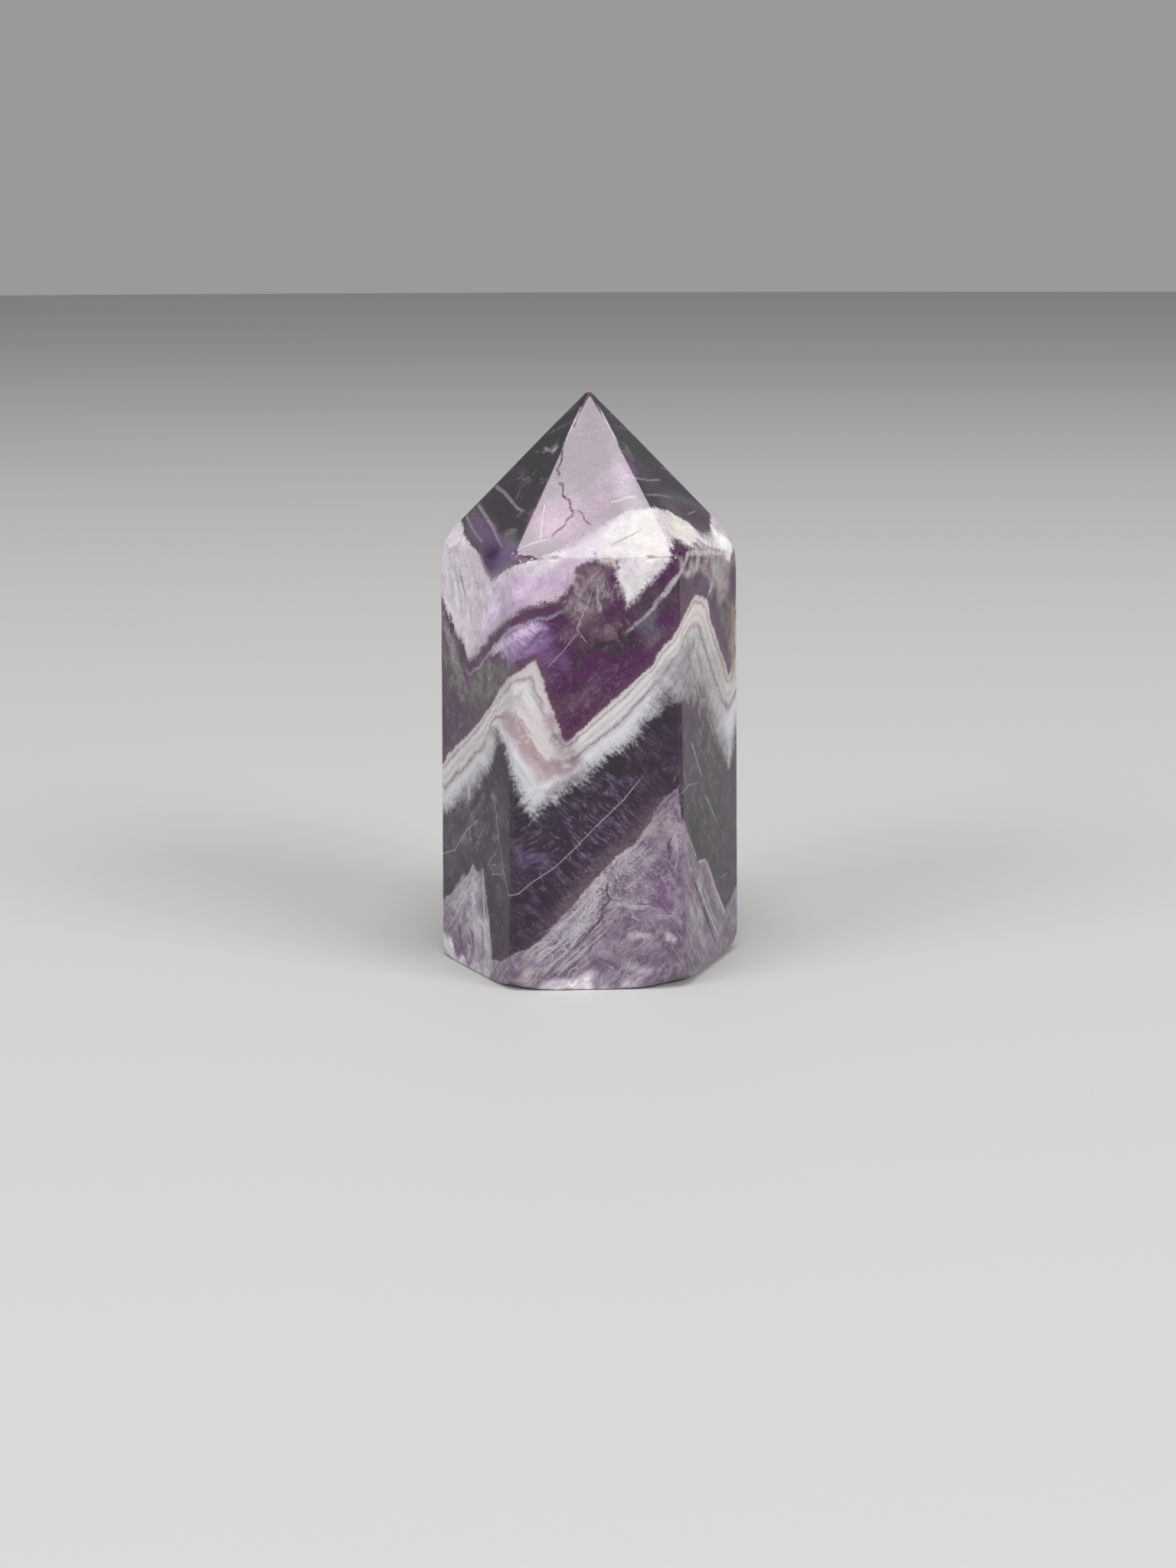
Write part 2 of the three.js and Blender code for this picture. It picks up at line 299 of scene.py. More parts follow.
DARK_BASE = np.array((0.036, 0.013, 0.044))
VIOLET_BASE = np.array((0.082, 0.003, 0.078))
CLEAR_PATCHES = [
    ((-0.36, 35.6, 4.4, 2.2, 40), (0.17, 0.07, 0.21)), ((-0.56, 35.7, 4.6, 1.8, 36), (0.33, 0.24, 0.37)),
    ((-1.3, 14.5, 11, 6, 20), (0.090, 0.050, 0.086)), ((-0.72, 15.5, 3.8, 11, 8), (0.066, 0.038, 0.068)),
    ((-0.65, 6, 3.5, 6, 0), (0.042, 0.010, 0.022)), ((1.0, 18, 10, 18, 0), (0.030, 0.014, 0.026)),
    ((0.7, 27.0, 4.5, 7, 0), (0.060, 0.014, 0.044)), ((0.75, 16, 5, 6, -50), (0.006, 0.004, 0.005)),
    ((-0.37, 13.7, 2.2, 2.0, 20), (0.14, 0.095, 0.20)), ((2.6, 18, 12, 9, 0), (0.07, 0.03, 0.08)),
    ((-0.15, 29.0, 6, 3.0, 40), (0.125, 0.045, 0.105)), ((0.05, 36.9, 7, 2.2, 30), (0.05, 0.012, 0.042)),
    ((0.0, 40.4, 4.4, 4.2, 30), (0.19, 0.11, 0.15)), ((-0.06, 42.6, 3.2, 2.4, 20), (0.33, 0.22, 0.26)),
    ((-0.85, 31, 8, 4.5, 30), (0.185, 0.17, 0.163)), ((-1.38, 31.5, 5, 5.5, 0), (0.165, 0.158, 0.138)),
    ((-1.2, 26.2, 8, 2.4, 28), (0.095, 0.047, 0.095)), ((0.48, 40.6, 4.6, 3.0, 45), (0.085, 0.048, 0.075)),
    ((0.36, 37.4, 2.0, 1.5, 30), (0.15, 0.12, 0.17)), ((1.25, 38.4, 5.5, 2.6, -35), (0.10, 0.09, 0.075)),
    ((1.44, 33.5, 2.4, 5, 0), (0.26, 0.19, 0.145)), ((2.4, 35, 9, 6, 30), (0.15, 0.06, 0.17)),
    ((3.4, 30, 8, 6, 0), (0.10, 0.09, 0.095)), ((0.6, 41.8, 3.4, 2.6, 30), (0.04, 0.008, 0.035)),
    ((1.18, 42.0, 7.2, 3.8, -4), (0.50, 0.45, 0.41)), ((0.82, 44.2, 6, 1.6, -6), (0.52, 0.47, 0.44)),
    ((0.62, 45.4, 3.4, 1.2, 0), (0.21, 0.155, 0.17)),
]

# The milky base colours give way to each other over these heights in mm above the top of the mottled foot,
# and above the foot of the lavender layer, where a clear zone hides it. The clear ones do so in the middle
# of the white layer and of the lavender one, where the distances from its foot and its top add up to these.
MOTTLED_END = (4, 2)
LAVENDER_START = (-3.5, -2)
SEAM = (-1, 1)

# The six facets of the point: colour, how see-through each is, from 0 to 1, and how much of their own
# colour the milky layers keep on it. Patches lie over the first two.
FACET_COLOURS = np.array([
    (0.66, 0.61, 0.65), (0.62, 0.385, 0.56), (0.56, 0.52, 0.55), (0.70, 0.50, 0.70), (0.74, 0.72, 0.75),
    (0.72, 0.60, 0.72),
])
FACET_GLASSINESS = np.array([0.97, 0.86, 0.96, 0.92, 0.97, 0.94])
FACET_MILKINESS = np.array([1.0, 0.62, 1.0, 1.0, 0.7, 1.0])
POINT_PATCHES = [
    ((-1.1, 46.6, 9.5, 1.9, -14), (0.40, 0.25, 0.44)), ((-0.78, 44.0, 6, 3.0, 14), (0.08, 0.012, 0.115)),
    ((1.2, 47.6, 9, 2.6, -12), (0.16, 0.09, 0.13)), ((0.34, 49.5, 3.0, 7, 0), (0.78, 0.60, 0.76)),
    ((-0.3, 48.8, 5, 4.2, 10), (0.96, 0.70, 0.87)), ((0.0, 57.0, 6, 3.4, 0), (0.40, 0.26, 0.31)),
    ((-0.58, 44.8, 3.4, 1.3, 20), (0.26, 0.16, 0.33)), ((0.75, 52.5, 5, 3.0, -10), (0.40, 0.28, 0.44)),
    ((-0.9, 52.0, 6, 3.0, 0), (0.50, 0.48, 0.46)), ((2.2, 48.6, 6, 2.4, -10), (0.34, 0.20, 0.38)),
    ((3.8, 47.6, 8, 2.4, 10), (0.30, 0.18, 0.34)),
]
POINT_GLASSY = [
    ((-0.78, 43.8, 6, 3.0, 14), -0.65), ((-1.1, 46.4, 9.5, 1.7, -14), -0.2),
    ((-0.58, 44.8, 3.4, 1.3, 20), -0.5), ((1.2, 47.6, 9, 2.6, -12), -0.3), ((0.36, 49.5, 2.6, 7, 0), -0.12),
    ((-0.3, 46.6, 5, 2.4, 10), -0.08), ((0.75, 52.5, 5, 3.0, -10), -0.06),
]

# Soft sashes of colour: half width in mm, colour, how strong it is from 0 to 1, then the way that it goes.
# The colour is whole within the core, which is a share of the half width, and ends a little beyond the half
# width. A sash fades at either end over one part in so many of its length.
SASH_CORE = 0.5
SASH_SPREAD = 1.3
SASH_MARGIN = 0.12
SASH_ENDS = 5
SASHES = [
    # Below the shoulder, at the left and on the front.
    (0.5, (0.26, 0.16, 0.34), 0.7, [(-0.6, 34.3), (-0.46, 35.0), (-0.36, 35.8), (-0.24, 37.0)]),
    (0.6, (0.40, 0.29, 0.48), 0.75, [(-0.7, 34.5), (-0.54, 35.6), (-0.42, 36.5), (-0.28, 37.8)]),
    (0.45, (0.60, 0.48, 0.67), 0.85, [(-0.84, 34.1), (-0.7, 35.3), (-0.54, 36.6), (-0.4, 37.6),
                                      (-0.26, 38.4)]),
    (0.2, (0.10, 0.05, 0.13), 0.7, [(-0.42, 35.6), (-0.35, 37.2), (-0.3, 38.0)]),
    (0.2, (0.12, 0.06, 0.16), 0.6, [(-0.36, 35.2), (-0.3, 36.2), (-0.22, 37.4)]),
    (0.16, (0.44, 0.34, 0.30), 0.6, [(-1.23, 42.8), (-1.19, 41.2), (-1.15, 39.4)]),
    (0.9, (0.36, 0.33, 0.35), 0.6, [(-1.53, 39.0), (-1.44, 36.2), (-1.34, 34.2), (-1.26, 32.2),
                                    (-1.15, 30.6)]),
    (0.4, (0.38, 0.34, 0.36), 0.6, [(-0.15, 43.4), (-0.12, 41.9), (-0.1, 40.2), (-0.07, 38.6)]),
    (0.2, (0.42, 0.37, 0.40), 0.8, [(0.02, 42.3), (0.0, 40.6), (0.03, 38.6)]),
    (0.16, (0.36, 0.31, 0.37), 0.8, [(0.16, 36.8), (0.21, 37.5), (0.31, 39.0), (0.41, 40.7)]),
    (0.24, (0.44, 0.39, 0.44), 0.85, [(0.33, 39.4), (0.41, 40.7), (0.5, 42.5), (0.58, 43.5),
                                      (0.67, 44.5), (0.8, 44.7)]),
    (0.8, (0.70, 0.68, 0.71), 0.6, [(-1.42, 45.0), (-1.36, 41.0), (-1.28, 37.6)]),
    (0.5, (0.66, 0.64, 0.67), 0.6, [(-1.24, 45.0), (-1.16, 42.0), (-1.1, 38.0)]),
    (0.4, (0.42, 0.33, 0.38), 0.5, [(-1.3, 44.0), (-1.24, 40.5), (-1.16, 36.4)]),
    (0.4, (0.44, 0.34, 0.42), 0.5, [(-1.06, 43.6), (-0.96, 40.6), (-0.92, 37.4)]),
    (0.5, (0.72, 0.64, 0.76), 0.6, [(-0.82, 41.0), (-0.6, 42.2), (-0.42, 43.6)]),
    (0.35, (0.46, 0.34, 0.52), 0.5, [(-0.7, 38.6), (-0.5, 40.0), (-0.3, 41.0)]),
    (0.4, (0.46, 0.43, 0.47), 0.7, [(-1.12, 20.2), (-1.08, 18.2)]),
    (0.3, (0.44, 0.41, 0.45), 0.6, [(-0.96, 21.8), (-0.93, 19.6)]),
    (0.3, (0.60, 0.56, 0.54), 0.8, [(0.62, 44.5), (0.9, 44.3), (1.2, 43.6), (1.45, 43.0)]),
    # On the right face, under the shoulder and at its far edge.
    (0.6, (0.40, 0.36, 0.345), 0.6, [(0.74, 44.0), (0.88, 42.9), (1.02, 41.6), (1.2, 40.4)]),
    (0.3, (0.14, 0.10, 0.11), 0.5, [(1.2, 42.6), (1.3, 41.0), (1.44, 39.6)]),
    (0.25, (0.50, 0.46, 0.43), 0.8, [(0.97, 39.4), (1.04, 40.3), (1.1, 42.0), (1.13, 43.2)]),
    (0.3, (0.16, 0.12, 0.13), 0.6, [(1.02, 42.8), (1.06, 41.2), (1.16, 40.3)]),
    (0.6, (0.33, 0.25, 0.19), 0.75, [(1.4, 39.4), (1.43, 34.0), (1.4, 28.5)]),
    (0.35, (0.56, 0.50, 0.44), 0.75, [(1.47, 39.4), (1.49, 33.0), (1.47, 28.0)]),
    # The pale wedge low on the left face.
    (0.6, (0.35, 0.31, 0.36), 0.7, [(-1.46, 5.0), (-1.25, 8.3), (-1.1, 10.6)]),
    (0.4, (0.38, 0.34, 0.40), 0.7, [(-1.3, 3.0), (-1.18, 6.5), (-1.1, 9.0)]),
    (0.45, (0.12, 0.05, 0.15), 0.7, [(-1.24, 4.6), (-1.21, 2.2)]),
    (0.35, (0.15, 0.09, 0.16), 0.6, [(-0.92, 6.0), (-0.89, 1.0)]),
    (0.4, (0.46, 0.42, 0.46), 0.7, [(-1.12, 0.4), (-1.08, 3.2)]),
    # The foot of the front face.
    (0.5, (0.31, 0.27, 0.32), 0.45, [(-0.45, 4.4), (-0.25, 6.3), (-0.1, 9.3), (0.02, 11.7),
                                     (0.13, 13.2), (0.3, 16.0)]),
    (0.3, (0.32, 0.28, 0.33), 0.6, [(-0.06, 8.9), (-0.15, 7.2), (-0.26, 5.2), (-0.38, 3.9)]),
    (0.45, (0.44, 0.40, 0.46), 0.8, [(0.15, 5.4), (0.21, 5.8), (0.26, 5.7), (0.33, 5.3)]),
    (0.4, (0.48, 0.44, 0.50), 0.8, [(0.37, 5.7), (0.42, 5.6), (0.46, 5.1)]),
    (0.3, (0.40, 0.36, 0.41), 0.7, [(0.04, 9.2), (0.13, 9.4), (0.26, 8.9), (0.34, 8.7)]),
    (0.25, (0.38, 0.34, 0.39), 0.6, [(0.3, 7.9), (0.4, 7.7), (0.48, 7.9)]),
    (0.35, (0.34, 0.30, 0.34), 0.6, [(0.47, 11.6), (0.46, 8.4), (0.48, 5.8)]),
    (0.3, (0.36, 0.30, 0.35), 0.7, [(0.43, 20.0), (0.42, 17.5), (0.46, 14.0)]),
    # The fan low on the right face.
    (0.5, (0.045, 0.03, 0.045), 0.6, [(0.6, 12.8), (0.75, 8.8), (1.0, 3.5)]),
    (0.6, (0.34, 0.30, 0.33), 0.7, [(0.54, 9.8), (0.66, 7.0), (0.8, 4.4), (0.92, 2.2)]),
    (0.4, (0.24, 0.21, 0.23), 0.7, [(1.22, 3.6), (1.35, 5.6), (1.5, 7.2)]),
    (0.3, (0.38, 0.34, 0.39), 0.6, [(0.81, 10.2), (0.99, 6.3), (1.16, 2.8)]),
    (0.35, (0.32, 0.28, 0.33), 0.5, [(0.93, 10.4), (1.06, 7.4), (1.19, 4.4)]),
    # On the faces at the back.
    (0.3, (0.40, 0.36, 0.42), 0.8, [(1.8, 9.6), (1.95, 5.0), (2.05, 1.4)]),
    (0.4, (0.36, 0.31, 0.38), 0.7, [(2.5, 9.0), (2.7, 11.8), (2.85, 9.4), (3.1, 3.4)]),
    (0.25, (0.44, 0.40, 0.45), 0.8, [(3.6, 6.0), (3.85, 10.6), (4.1, 8.0)]),
    (0.3, (0.46, 0.38, 0.50), 0.8, [(2.3, 36.4), (2.6, 40.2), (2.85, 42.6)]),
    (0.35, (0.40, 0.37, 0.38), 0.7, [(3.5, 33.4), (3.8, 37.0), (4.1, 40.2)]),
]

# Spots in the form of the patches, with a number for how strong each is: broken pale veils, dark blotches,
# the wide tan stripe, flame-like fibres, the mauve fringe under the shoulder layer, how see-through the
# sides are, how far the feet of the white layers fade out, where the stone's foot is striped, where its top
# border is crumpled, streaky haze in the clear zones, and where the edges are worn rougher and carry a
# painted white highlight.
VEILS = [
    ((0.0, 41.4, 3.0, 2.6, 60), 0.5), ((0.17, 41.6, 2.2, 2.6, -60), 0.7), ((-0.1, 38.4, 1.6, 2.4, -20), 0.3),
    ((0.95, 29.8, 5, 2.4, -55), 0.4), ((0.24, 5.6, 1.2, 0.8, 0), 0.6), ((0.4, 29.5, 1.4, 2.0, 0), 0.45),
    ((-0.85, 18, 2.4, 4, 0), 0.35), ((1.1, 42.2, 6, 2.4, 0), 0.5), ((-0.9, 32.5, 4, 1.2, 35), 0.35),
    ((-1.3, 31, 3, 3, 0), 0.35), ((2.2, 24, 5, 3, 40), 0.5), ((3.7, 35, 6, 2, -40), 0.5),
]
SHADES = [
    ((0.08, 36.9, 5, 1.8, 30), 0.7), ((-1.0, 12.5, 4, 4, 0), 0.4), ((1.25, 38.5, 4.5, 2.0, -35), 0.6),
    ((0.75, 15.5, 4, 5, -50), 0.4), ((-1.3, 30, 4, 3, 0), 0.3), ((0.12, 39.0, 2.2, 1.6, 0), 0.6),
    ((2.8, 30, 6, 3, 0), 0.5),
]
TAN_STRIPES = [((-0.40, 25.2, 7.2, 3.4, -70), 1.0)]
FLAMES = [
    ((0.0, 15, 10, 14, 0), 0.95), ((1.0, 18, 9, 20, 0), 0.1), ((-1.2, 14, 8, 8, 0), 0.45),
    ((-0.7, 12, 3, 12, 0), 0.15), ((2.8, 18, 16, 12, 0), 0.6),
]
FRINGES = [((-0.62, 36.8, 13, 6, 28), 1.0), ((2.9, 40, 14, 8, 0), 0.7)]
SIDE_GLASSINESS = 0.28
GLASSY = [
    ((-0.58, 36.4, 7, 3.0, 35), 0.1), ((1.2, 42, 7, 3.2, 0), 0.1), ((0.8, 43.8, 8, 3.2, -10), 0.08),
    ((0.8, 31.5, 6, 4, -30), 0.12), ((1.0, 18, 8, 12, 0), 0.2), ((-1.2, 31, 7, 4, 20), 0.2),
]
FADED_FEET = [
    ((1.15, 28, 9, 10, 0), 1.0), ((0.68, 33.0, 6, 5.5, 0), 1.9), ((0.42, 30.0, 2.2, 3.0, 0), 0.5),
    ((-1.0, 21, 6, 5, 30), 0.5), ((-0.78, 25.5, 4, 3, 0), 1.2), ((3.0, 22, 14, 8, 0), 0.4),
    ((0.0, 42.2, 4.4, 3.6, 0), 1.2), ((0.95, 44.0, 7, 2.4, 0), 0.9), ((-0.12, 46.2, 6, 2.6, 25), 0.8),
    ((-0.9, 43.0, 4, 2.4, 0), 0.5), ((-1.3, 36.0, 6, 3.0, 0), 0.6),
]
STRIPED = [
    ((-0.2, 5.5, 7, 3.4, 50), 1.0), ((0.72, 13.6, 4, 3, -60), 0.1), ((0.9, 8, 6, 5, -56), 0.45),
    ((2.0, 6, 6, 4, 40), 0.7), ((3.8, 8, 6, 4, 0), 0.6), ((-1.2, 6, 6, 6, 0), 0.7),
    ((0.3, 12, 4, 4, 0), 0.2),
]
CRUMPLED_RIMS = [
    ((0.0, 10, 9, 11, 0), 1.0), ((1.0, 9, 7, 9, 0), 0.0), ((-1.2, 8, 5, 5, 0), 0.8),
    ((2.5, 8, 14, 8, 0), 0.7),
]
HAZES = [
    ((-0.76, 24.4, 3.0, 3.4, 0), 0.8), ((-1.0, 18.6, 3.0, 2.4, 0), 0.6),
    ((0.72, 31.6, 5.5, 4.4, -20), 0.95), ((0.95, 27.5, 8, 3.4, -50), 0.5), ((1.0, 18, 9, 14, 0), 0.22),
    ((0.6, 22, 2, 8, 0), 0.35), ((-1.15, 15.5, 6, 5, 20), 0.42), ((-0.75, 15, 3.4, 10, 0), 0.3),
    ((-1.25, 31, 6, 4, 20), 0.42), ((-0.75, 31.5, 5, 2.4, 35), 0.3), ((-1.2, 25.6, 7, 2.4, 30), 0.3),
    ((1.18, 42.0, 6.5, 3.4, -6), 0.75), ((1.25, 38.6, 5, 2.6, -35), 0.35),
    ((0.0, 40.4, 5.0, 3.2, 30), 0.42), ((0.1, 37.2, 6, 2.0, 30), 0.3), ((0.0, 30.0, 7, 3.0, 40), 0.25),
    ((0.72, 51.4, 3, 1.6, -6), 0.2), ((-0.95, 50.6, 6, 1.8, -12), 0.2), ((-0.75, 54.4, 4, 1.2, 0), 0.45),
    ((2.6, 30, 16, 10, 0), 0.4), ((3.9, 16, 14, 8, 0), 0.35), ((2.9, 52, 16, 5, 0), 0.35),
]
# Edges worn rougher and painted white as a highlight: strongest on the ridges by the tip and on the front of
# the shoulder.
WORN_AND_HIGHLIT_EDGES = [
    ((-0.5, 56.6, 4, 3.6, 0), 0.6), ((0.5, 56.6, 4, 3.6, 0), 0.62), ((-0.5, 50.0, 3, 4.5, 0), 0.36),
    ((0.5, 51.0, 3, 4.0, 0), 0.36), ((0.0, 44.4, 9, 1.0, 0), 0.55), ((3.0, 50, 24, 12, 0), 0.26),
]
# How strong the wear and painted edge highlight is on the other edges, and from how far to how near an edge
# it grows, in mm.
SIDE_WEAR_AND_HIGHLIGHT = 0.12
WEAR_AND_HIGHLIGHT_REACH = (0.34, 0.06)

# The spots by the names that the material knows them by, each with its strength where no spot is.
SPOTS = {
    "veil": (0, VEILS), "shade": (0, SHADES), "haze": (0, HAZES),
    "flames": (0.3, FLAMES), "fringe": (0, FRINGES), "tan": (0, TAN_STRIPES),
    "faded": (0, FADED_FEET), "striped": (0.3, STRIPED), "rim": (0.2, CRUMPLED_RIMS),
}

# The fields that the mesh stores for the material, and the three numbers in each.
STORED = {
    "low_layers": ("mottled_top", "white_foot", "white_top"),
    "high_layers": ("lavender_foot", "lavender_top", "across_white"),
    "marks": ("veil", "shade", "haze"),
    "habits": ("flames", "fringe", "tan"),
    "feet": ("faded", "striped", "rim"),
    "body": ("glassy", "wear", "sash"),
}

# Noises of the material: how often each changes in a mm, how much finer detail it has, how rough that is,
# and how far the noise is distorted. A noise is 0.5 on average and mostly from 0.3 to 0.7.
NOISES = {
    "grit": (6.0, 2, 0.6), "fine": (2.6, 4, 0.6, 0.4), "cloud": (0.62, 5, 0.6, 0.6),
    "crumple": (0.85, 5, 0.6, 1.4), "broad": (0.2, 2), "folds": (0.36, 4, 0.6, 1.0),
    "lumps": (0.5, 2, 0.5, 0.8), "creases": (1.3, 3, 0.6, 2.0),
}

# Streaks: how often they change in a mm along their angle, and across it. They bend with a noise that
# changes so often in a mm, and moves them by up to half so many mm.
FIBRES = (3.6, 0.5)
STRANDS = (0.16, 2.4)
HAIRS = (0.3, 2.2)
STREAK_BEND = (0.4, 1.5)

# Half the width in mm of the border at the foot of the dark layer, of the violet zone, of the layer round
# the shoulder and of the point.
DARK_BLUR = 0.1
VIOLET_BLUR = 0.14
SHOULDER_BLUR = 0.4
POINT_BLUR = 0.15

# How far the white layer's foot is blurred downwards and upwards in mm, how much further where it fades out,
# and how far the foot of the shoulder's layer drifts there.
WHITE_BLUR_DOWN = 0.6
WHITE_BLUR_UP = 1.0
FADED_BLUR_DOWN = 1.6
FADED_BLUR_UP = 2.6
FADED_DRIFT = 7.0

# How far the mauve fringe and the light line are under the shoulder's layer, in mm.
FRINGE_DROP = 0.5
LIGHT_DROP = 1.2

# The white layer from its foot, 0, to its top, 1: its gentle limbs, and the steep one with the tan stripe.
GENTLE_LIMB = [
    (0.0, (0.36, 0.34, 0.38)), (0.1, (0.46, 0.44, 0.48)), (0.34, (0.58, 0.56, 0.60)),
    (0.44, (0.44, 0.39, 0.41)), (0.48, (0.23, 0.17, 0.19)), (0.53, (0.40, 0.34, 0.36)),
    (0.6, (0.57, 0.54, 0.55)), (0.68, (0.46, 0.40, 0.41)), (0.76, (0.59, 0.56, 0.56)),
    (0.83, (0.56, 0.52, 0.52)), (0.88, (0.30, 0.23, 0.25)), (0.92, (0.52, 0.47, 0.48)),
    (1.0, (0.44, 0.37, 0.38)),
]
STEEP_LIMB = [
    (0.0, (0.44, 0.42, 0.46)), (0.24, (0.60, 0.58, 0.62)), (0.34, (0.38, 0.265, 0.28)),
    (0.55, (0.35, 0.235, 0.25)), (0.62, (0.57, 0.51, 0.52)), (0.76, (0.54, 0.47, 0.48)),
    (0.84, (0.38, 0.29, 0.32)), (1.0, (0.28, 0.18, 0.24)),
]

# Colours of what lies over the layers. A tint multiplies a layer's own colour.
FOOT_PALE_TINT = (1.6, 1.7, 1.56)
FOOT_DEEP_TINT = (0.55, 0.46, 0.57)
FOOT_SHEEN = (0.36, 0.34, 0.36)
# Painted shade: a dark line beside each pale vein of the foot, so that the veins look raised.
SHADE_BESIDE_VEINS = (0.055, 0.04, 0.06)
VEINS = (0.47, 0.45, 0.48)
DARK_STRIPES = (0.085, 0.06, 0.09)
LIGHT_STRIPES = (0.38, 0.36, 0.39)
FOOT_RIM = (0.42, 0.39, 0.42)
# Painted shade: dark lines beside the pale creases of the foot's crumpled rim, so that they look raised.
SHADE_BESIDE_CREASES = (0.08, 0.055, 0.085)
LIGHT_CREASES = (0.56, 0.53, 0.56)
BETWEEN_CLUMPS_TINT = (0.5, 0.44, 0.54)
FLAME_FIBRES = (0.11, 0.072, 0.135)
BLACK_UNDER_WHITE = (0.010, 0.012, 0.012)
SPARKS = (0.28, 0.23, 0.31)
BROWN_RIM = (0.175, 0.10, 0.12)
WHITE_SHADOWS = (0.30, 0.25, 0.28)
WHITE_CLOUDS = (0.60, 0.57, 0.60)
WHITE_DUST = (0.26, 0.23, 0.26)
VIOLET_DEPTHS = (0.018, 0.004, 0.022)
VIOLET_CLOUDS = (0.24, 0.12, 0.25)
VIOLET_FIBRE_TINT = (0.62, 0.56, 0.66)
FLECKS = (0.24, 0.13, 0.20)
GLOW_ON_WHITE = (0.15, 0.065, 0.085)
MAUVE_FRINGE = (0.09, 0.03, 0.08)
FRINGE_LIGHT = (0.40, 0.33, 0.44)
SHOULDER_LIGHT_TINT = (1.22, 1.25, 1.22)
SHOULDER_DEEP_TINT = (0.62, 0.54, 0.62)
SHOULDER_FOOT = (0.34, 0.23, 0.34)
BLOTCHES = (0.018, 0.012, 0.018)
BROKEN_VEILS = (0.34, 0.30, 0.32)
PALE_HAIRS = (0.42, 0.38, 0.41)
STREAKY_HAZE = (0.26, 0.22, 0.245)
SASH_DEEP_TINT = (0.7, 0.65, 0.72)
HEALED_FRACTURES = (0.46, 0.42, 0.48)
OPEN_FRACTURES = (0.03, 0.02, 0.03)
# Painted highlight: the white laid along the worn edges.
EDGE_HIGHLIGHT_WHITE = (0.50, 0.47, 0.50)

# Thin veils and growth bands sealed under the facets of the point: kind, place around and height of the
# spot on the facet, depth below it, half length, half height, degrees of tilt, and degrees that the sheet's
# upper side turns down into the stone.
SHEETS = [
    ("growth_band", -1.05, 46.3, 2.0, 7.0, 1.5, -20, 20), ("edge", -1.05, 47.1, 1.6, 7.5, 0.5, -20, 60),
    ("veil", -1.1, 54.1, 0.5, 3.0, 0.7, 4, 40), ("veil", -0.9, 51.6, 2.2, 3.6, 1.6, 12, 30),
    ("veil", -0.8, 48.6, 1.8, 1.6, 1.0, 30, 30), ("growth_band", -0.8, 45.2, 0.8, 3.0, 1.4, -30, 20),
    ("edge", -0.7, 45.6, 0.6, 2.6, 0.4, 20, 75), ("veil", -1.2, 51.8, 1.5, 3.6, 1.4, -24, 30),
    ("veil", -0.75, 46.9, 1.2, 2.2, 1.0, 10, 30), ("edge", 0.74, 51.2, 0.8, 3.4, 0.4, -8, 80),
    ("growth_band", 1.1, 48.2, 1.6, 2.8, 1.2, -28, 30), ("veil", 0.75, 54.0, 0.9, 3.4, 1.2, 62, 40),
    ("growth_band", 0.66, 53.0, 1.4, 2.6, 1.2, 60, 30), ("haze", -0.2, 48.6, 1.2, 5.5, 4.0, 10, 8),
    ("haze", 0.22, 51.6, 1.2, 5.0, 2.6, 60, 8), ("veil", 2.0, 51.0, 1.2, 4.0, 1.2, 16, 40),
    ("growth_band", 2.2, 49.0, 1.6, 4.5, 1.4, -14, 20), ("edge", 2.9, 53.4, 1.0, 3.0, 0.5, -20, 80),
    ("haze", 3.1, 50.6, 1.8, 4.0, 3.0, 0, 10), ("veil", 3.9, 50.6, 1.4, 4.0, 1.2, 18, 50),
    ("growth_band", 4.1, 48.6, 1.2, 4.0, 1.2, 10, 20),
]
SHEET_COLUMNS = 40
SHEET_ROWS = 14
SHEET_THICKNESS = 0.03
SHEET_CORE = 0.45

# A sheet has slight waves, and is then drawn in towards the heart of the point so many times, to keep it
# clear of the surface. The heart is so many mm below the tip, and the way to it is flattened by a factor.
SHEET_WAVINESS = 0.1
SHEET_WAVE_LENGTH = 4.0
SHEET_SEED = 11
SHEET_CLEARANCE = 0.18
SHEET_DRAWS = 10
HEART_DEPTH = 14
HEART_FLATNESS = 0.6

# The wisps in the sheets: a noise, with a finer one and the fading of the sheet's rim added to it.
WISPS = (0.55, 4, 0.6, 1.5)
WISP_GRAIN = (3.2, 3)
WISP_GRAIN_SIZE = 0.35
WISP_RIM = 0.3

# Each kind of sheet: colour, the two numbers of its wisps between which it grows dense, and how dense.
SHEET_LOOKS = {
    "veil": ((0.72, 0.69, 0.74), 0.42, 0.72, 0.6),
    "edge": ((0.66, 0.60, 0.68), 0.25, 0.50, 0.7),
    "growth_band": ((0.30, 0.12, 0.40), 0.30, 0.58, 0.75),
    "haze": ((0.70, 0.46, 0.70), 0.20, 0.66, 0.6),
}

# Quartz, the floor, the room and how near and far the camera sees. Here lengths are in metres.
QUARTZ_IOR = 1.544
CLEAR_ROUGHNESS = 0.04
MILKY_ROUGHNESS = 0.06
UNEVEN_ROUGHNESS = 0.04
WORN_ROUGHNESS = 0.5
FRACTURE_ROUGHNESS = 1.0
ABSORPTION_COLOUR = (0.62, 0.55, 0.66)
ABSORPTION_DENSITY = 200.0
FLOOR_RADIUS = 4.0
FLOOR_SIDES = 96
DULL_ROUGHNESS = 0.6
FLOOR_COLOUR = (0.565, 0.56, 0.55)
ROOM_COLOUR = (0.97, 0.98, 1.0)
ROOM_STRENGTH = 0.33
CLIP_START = 0.01
CLIP_END = 20

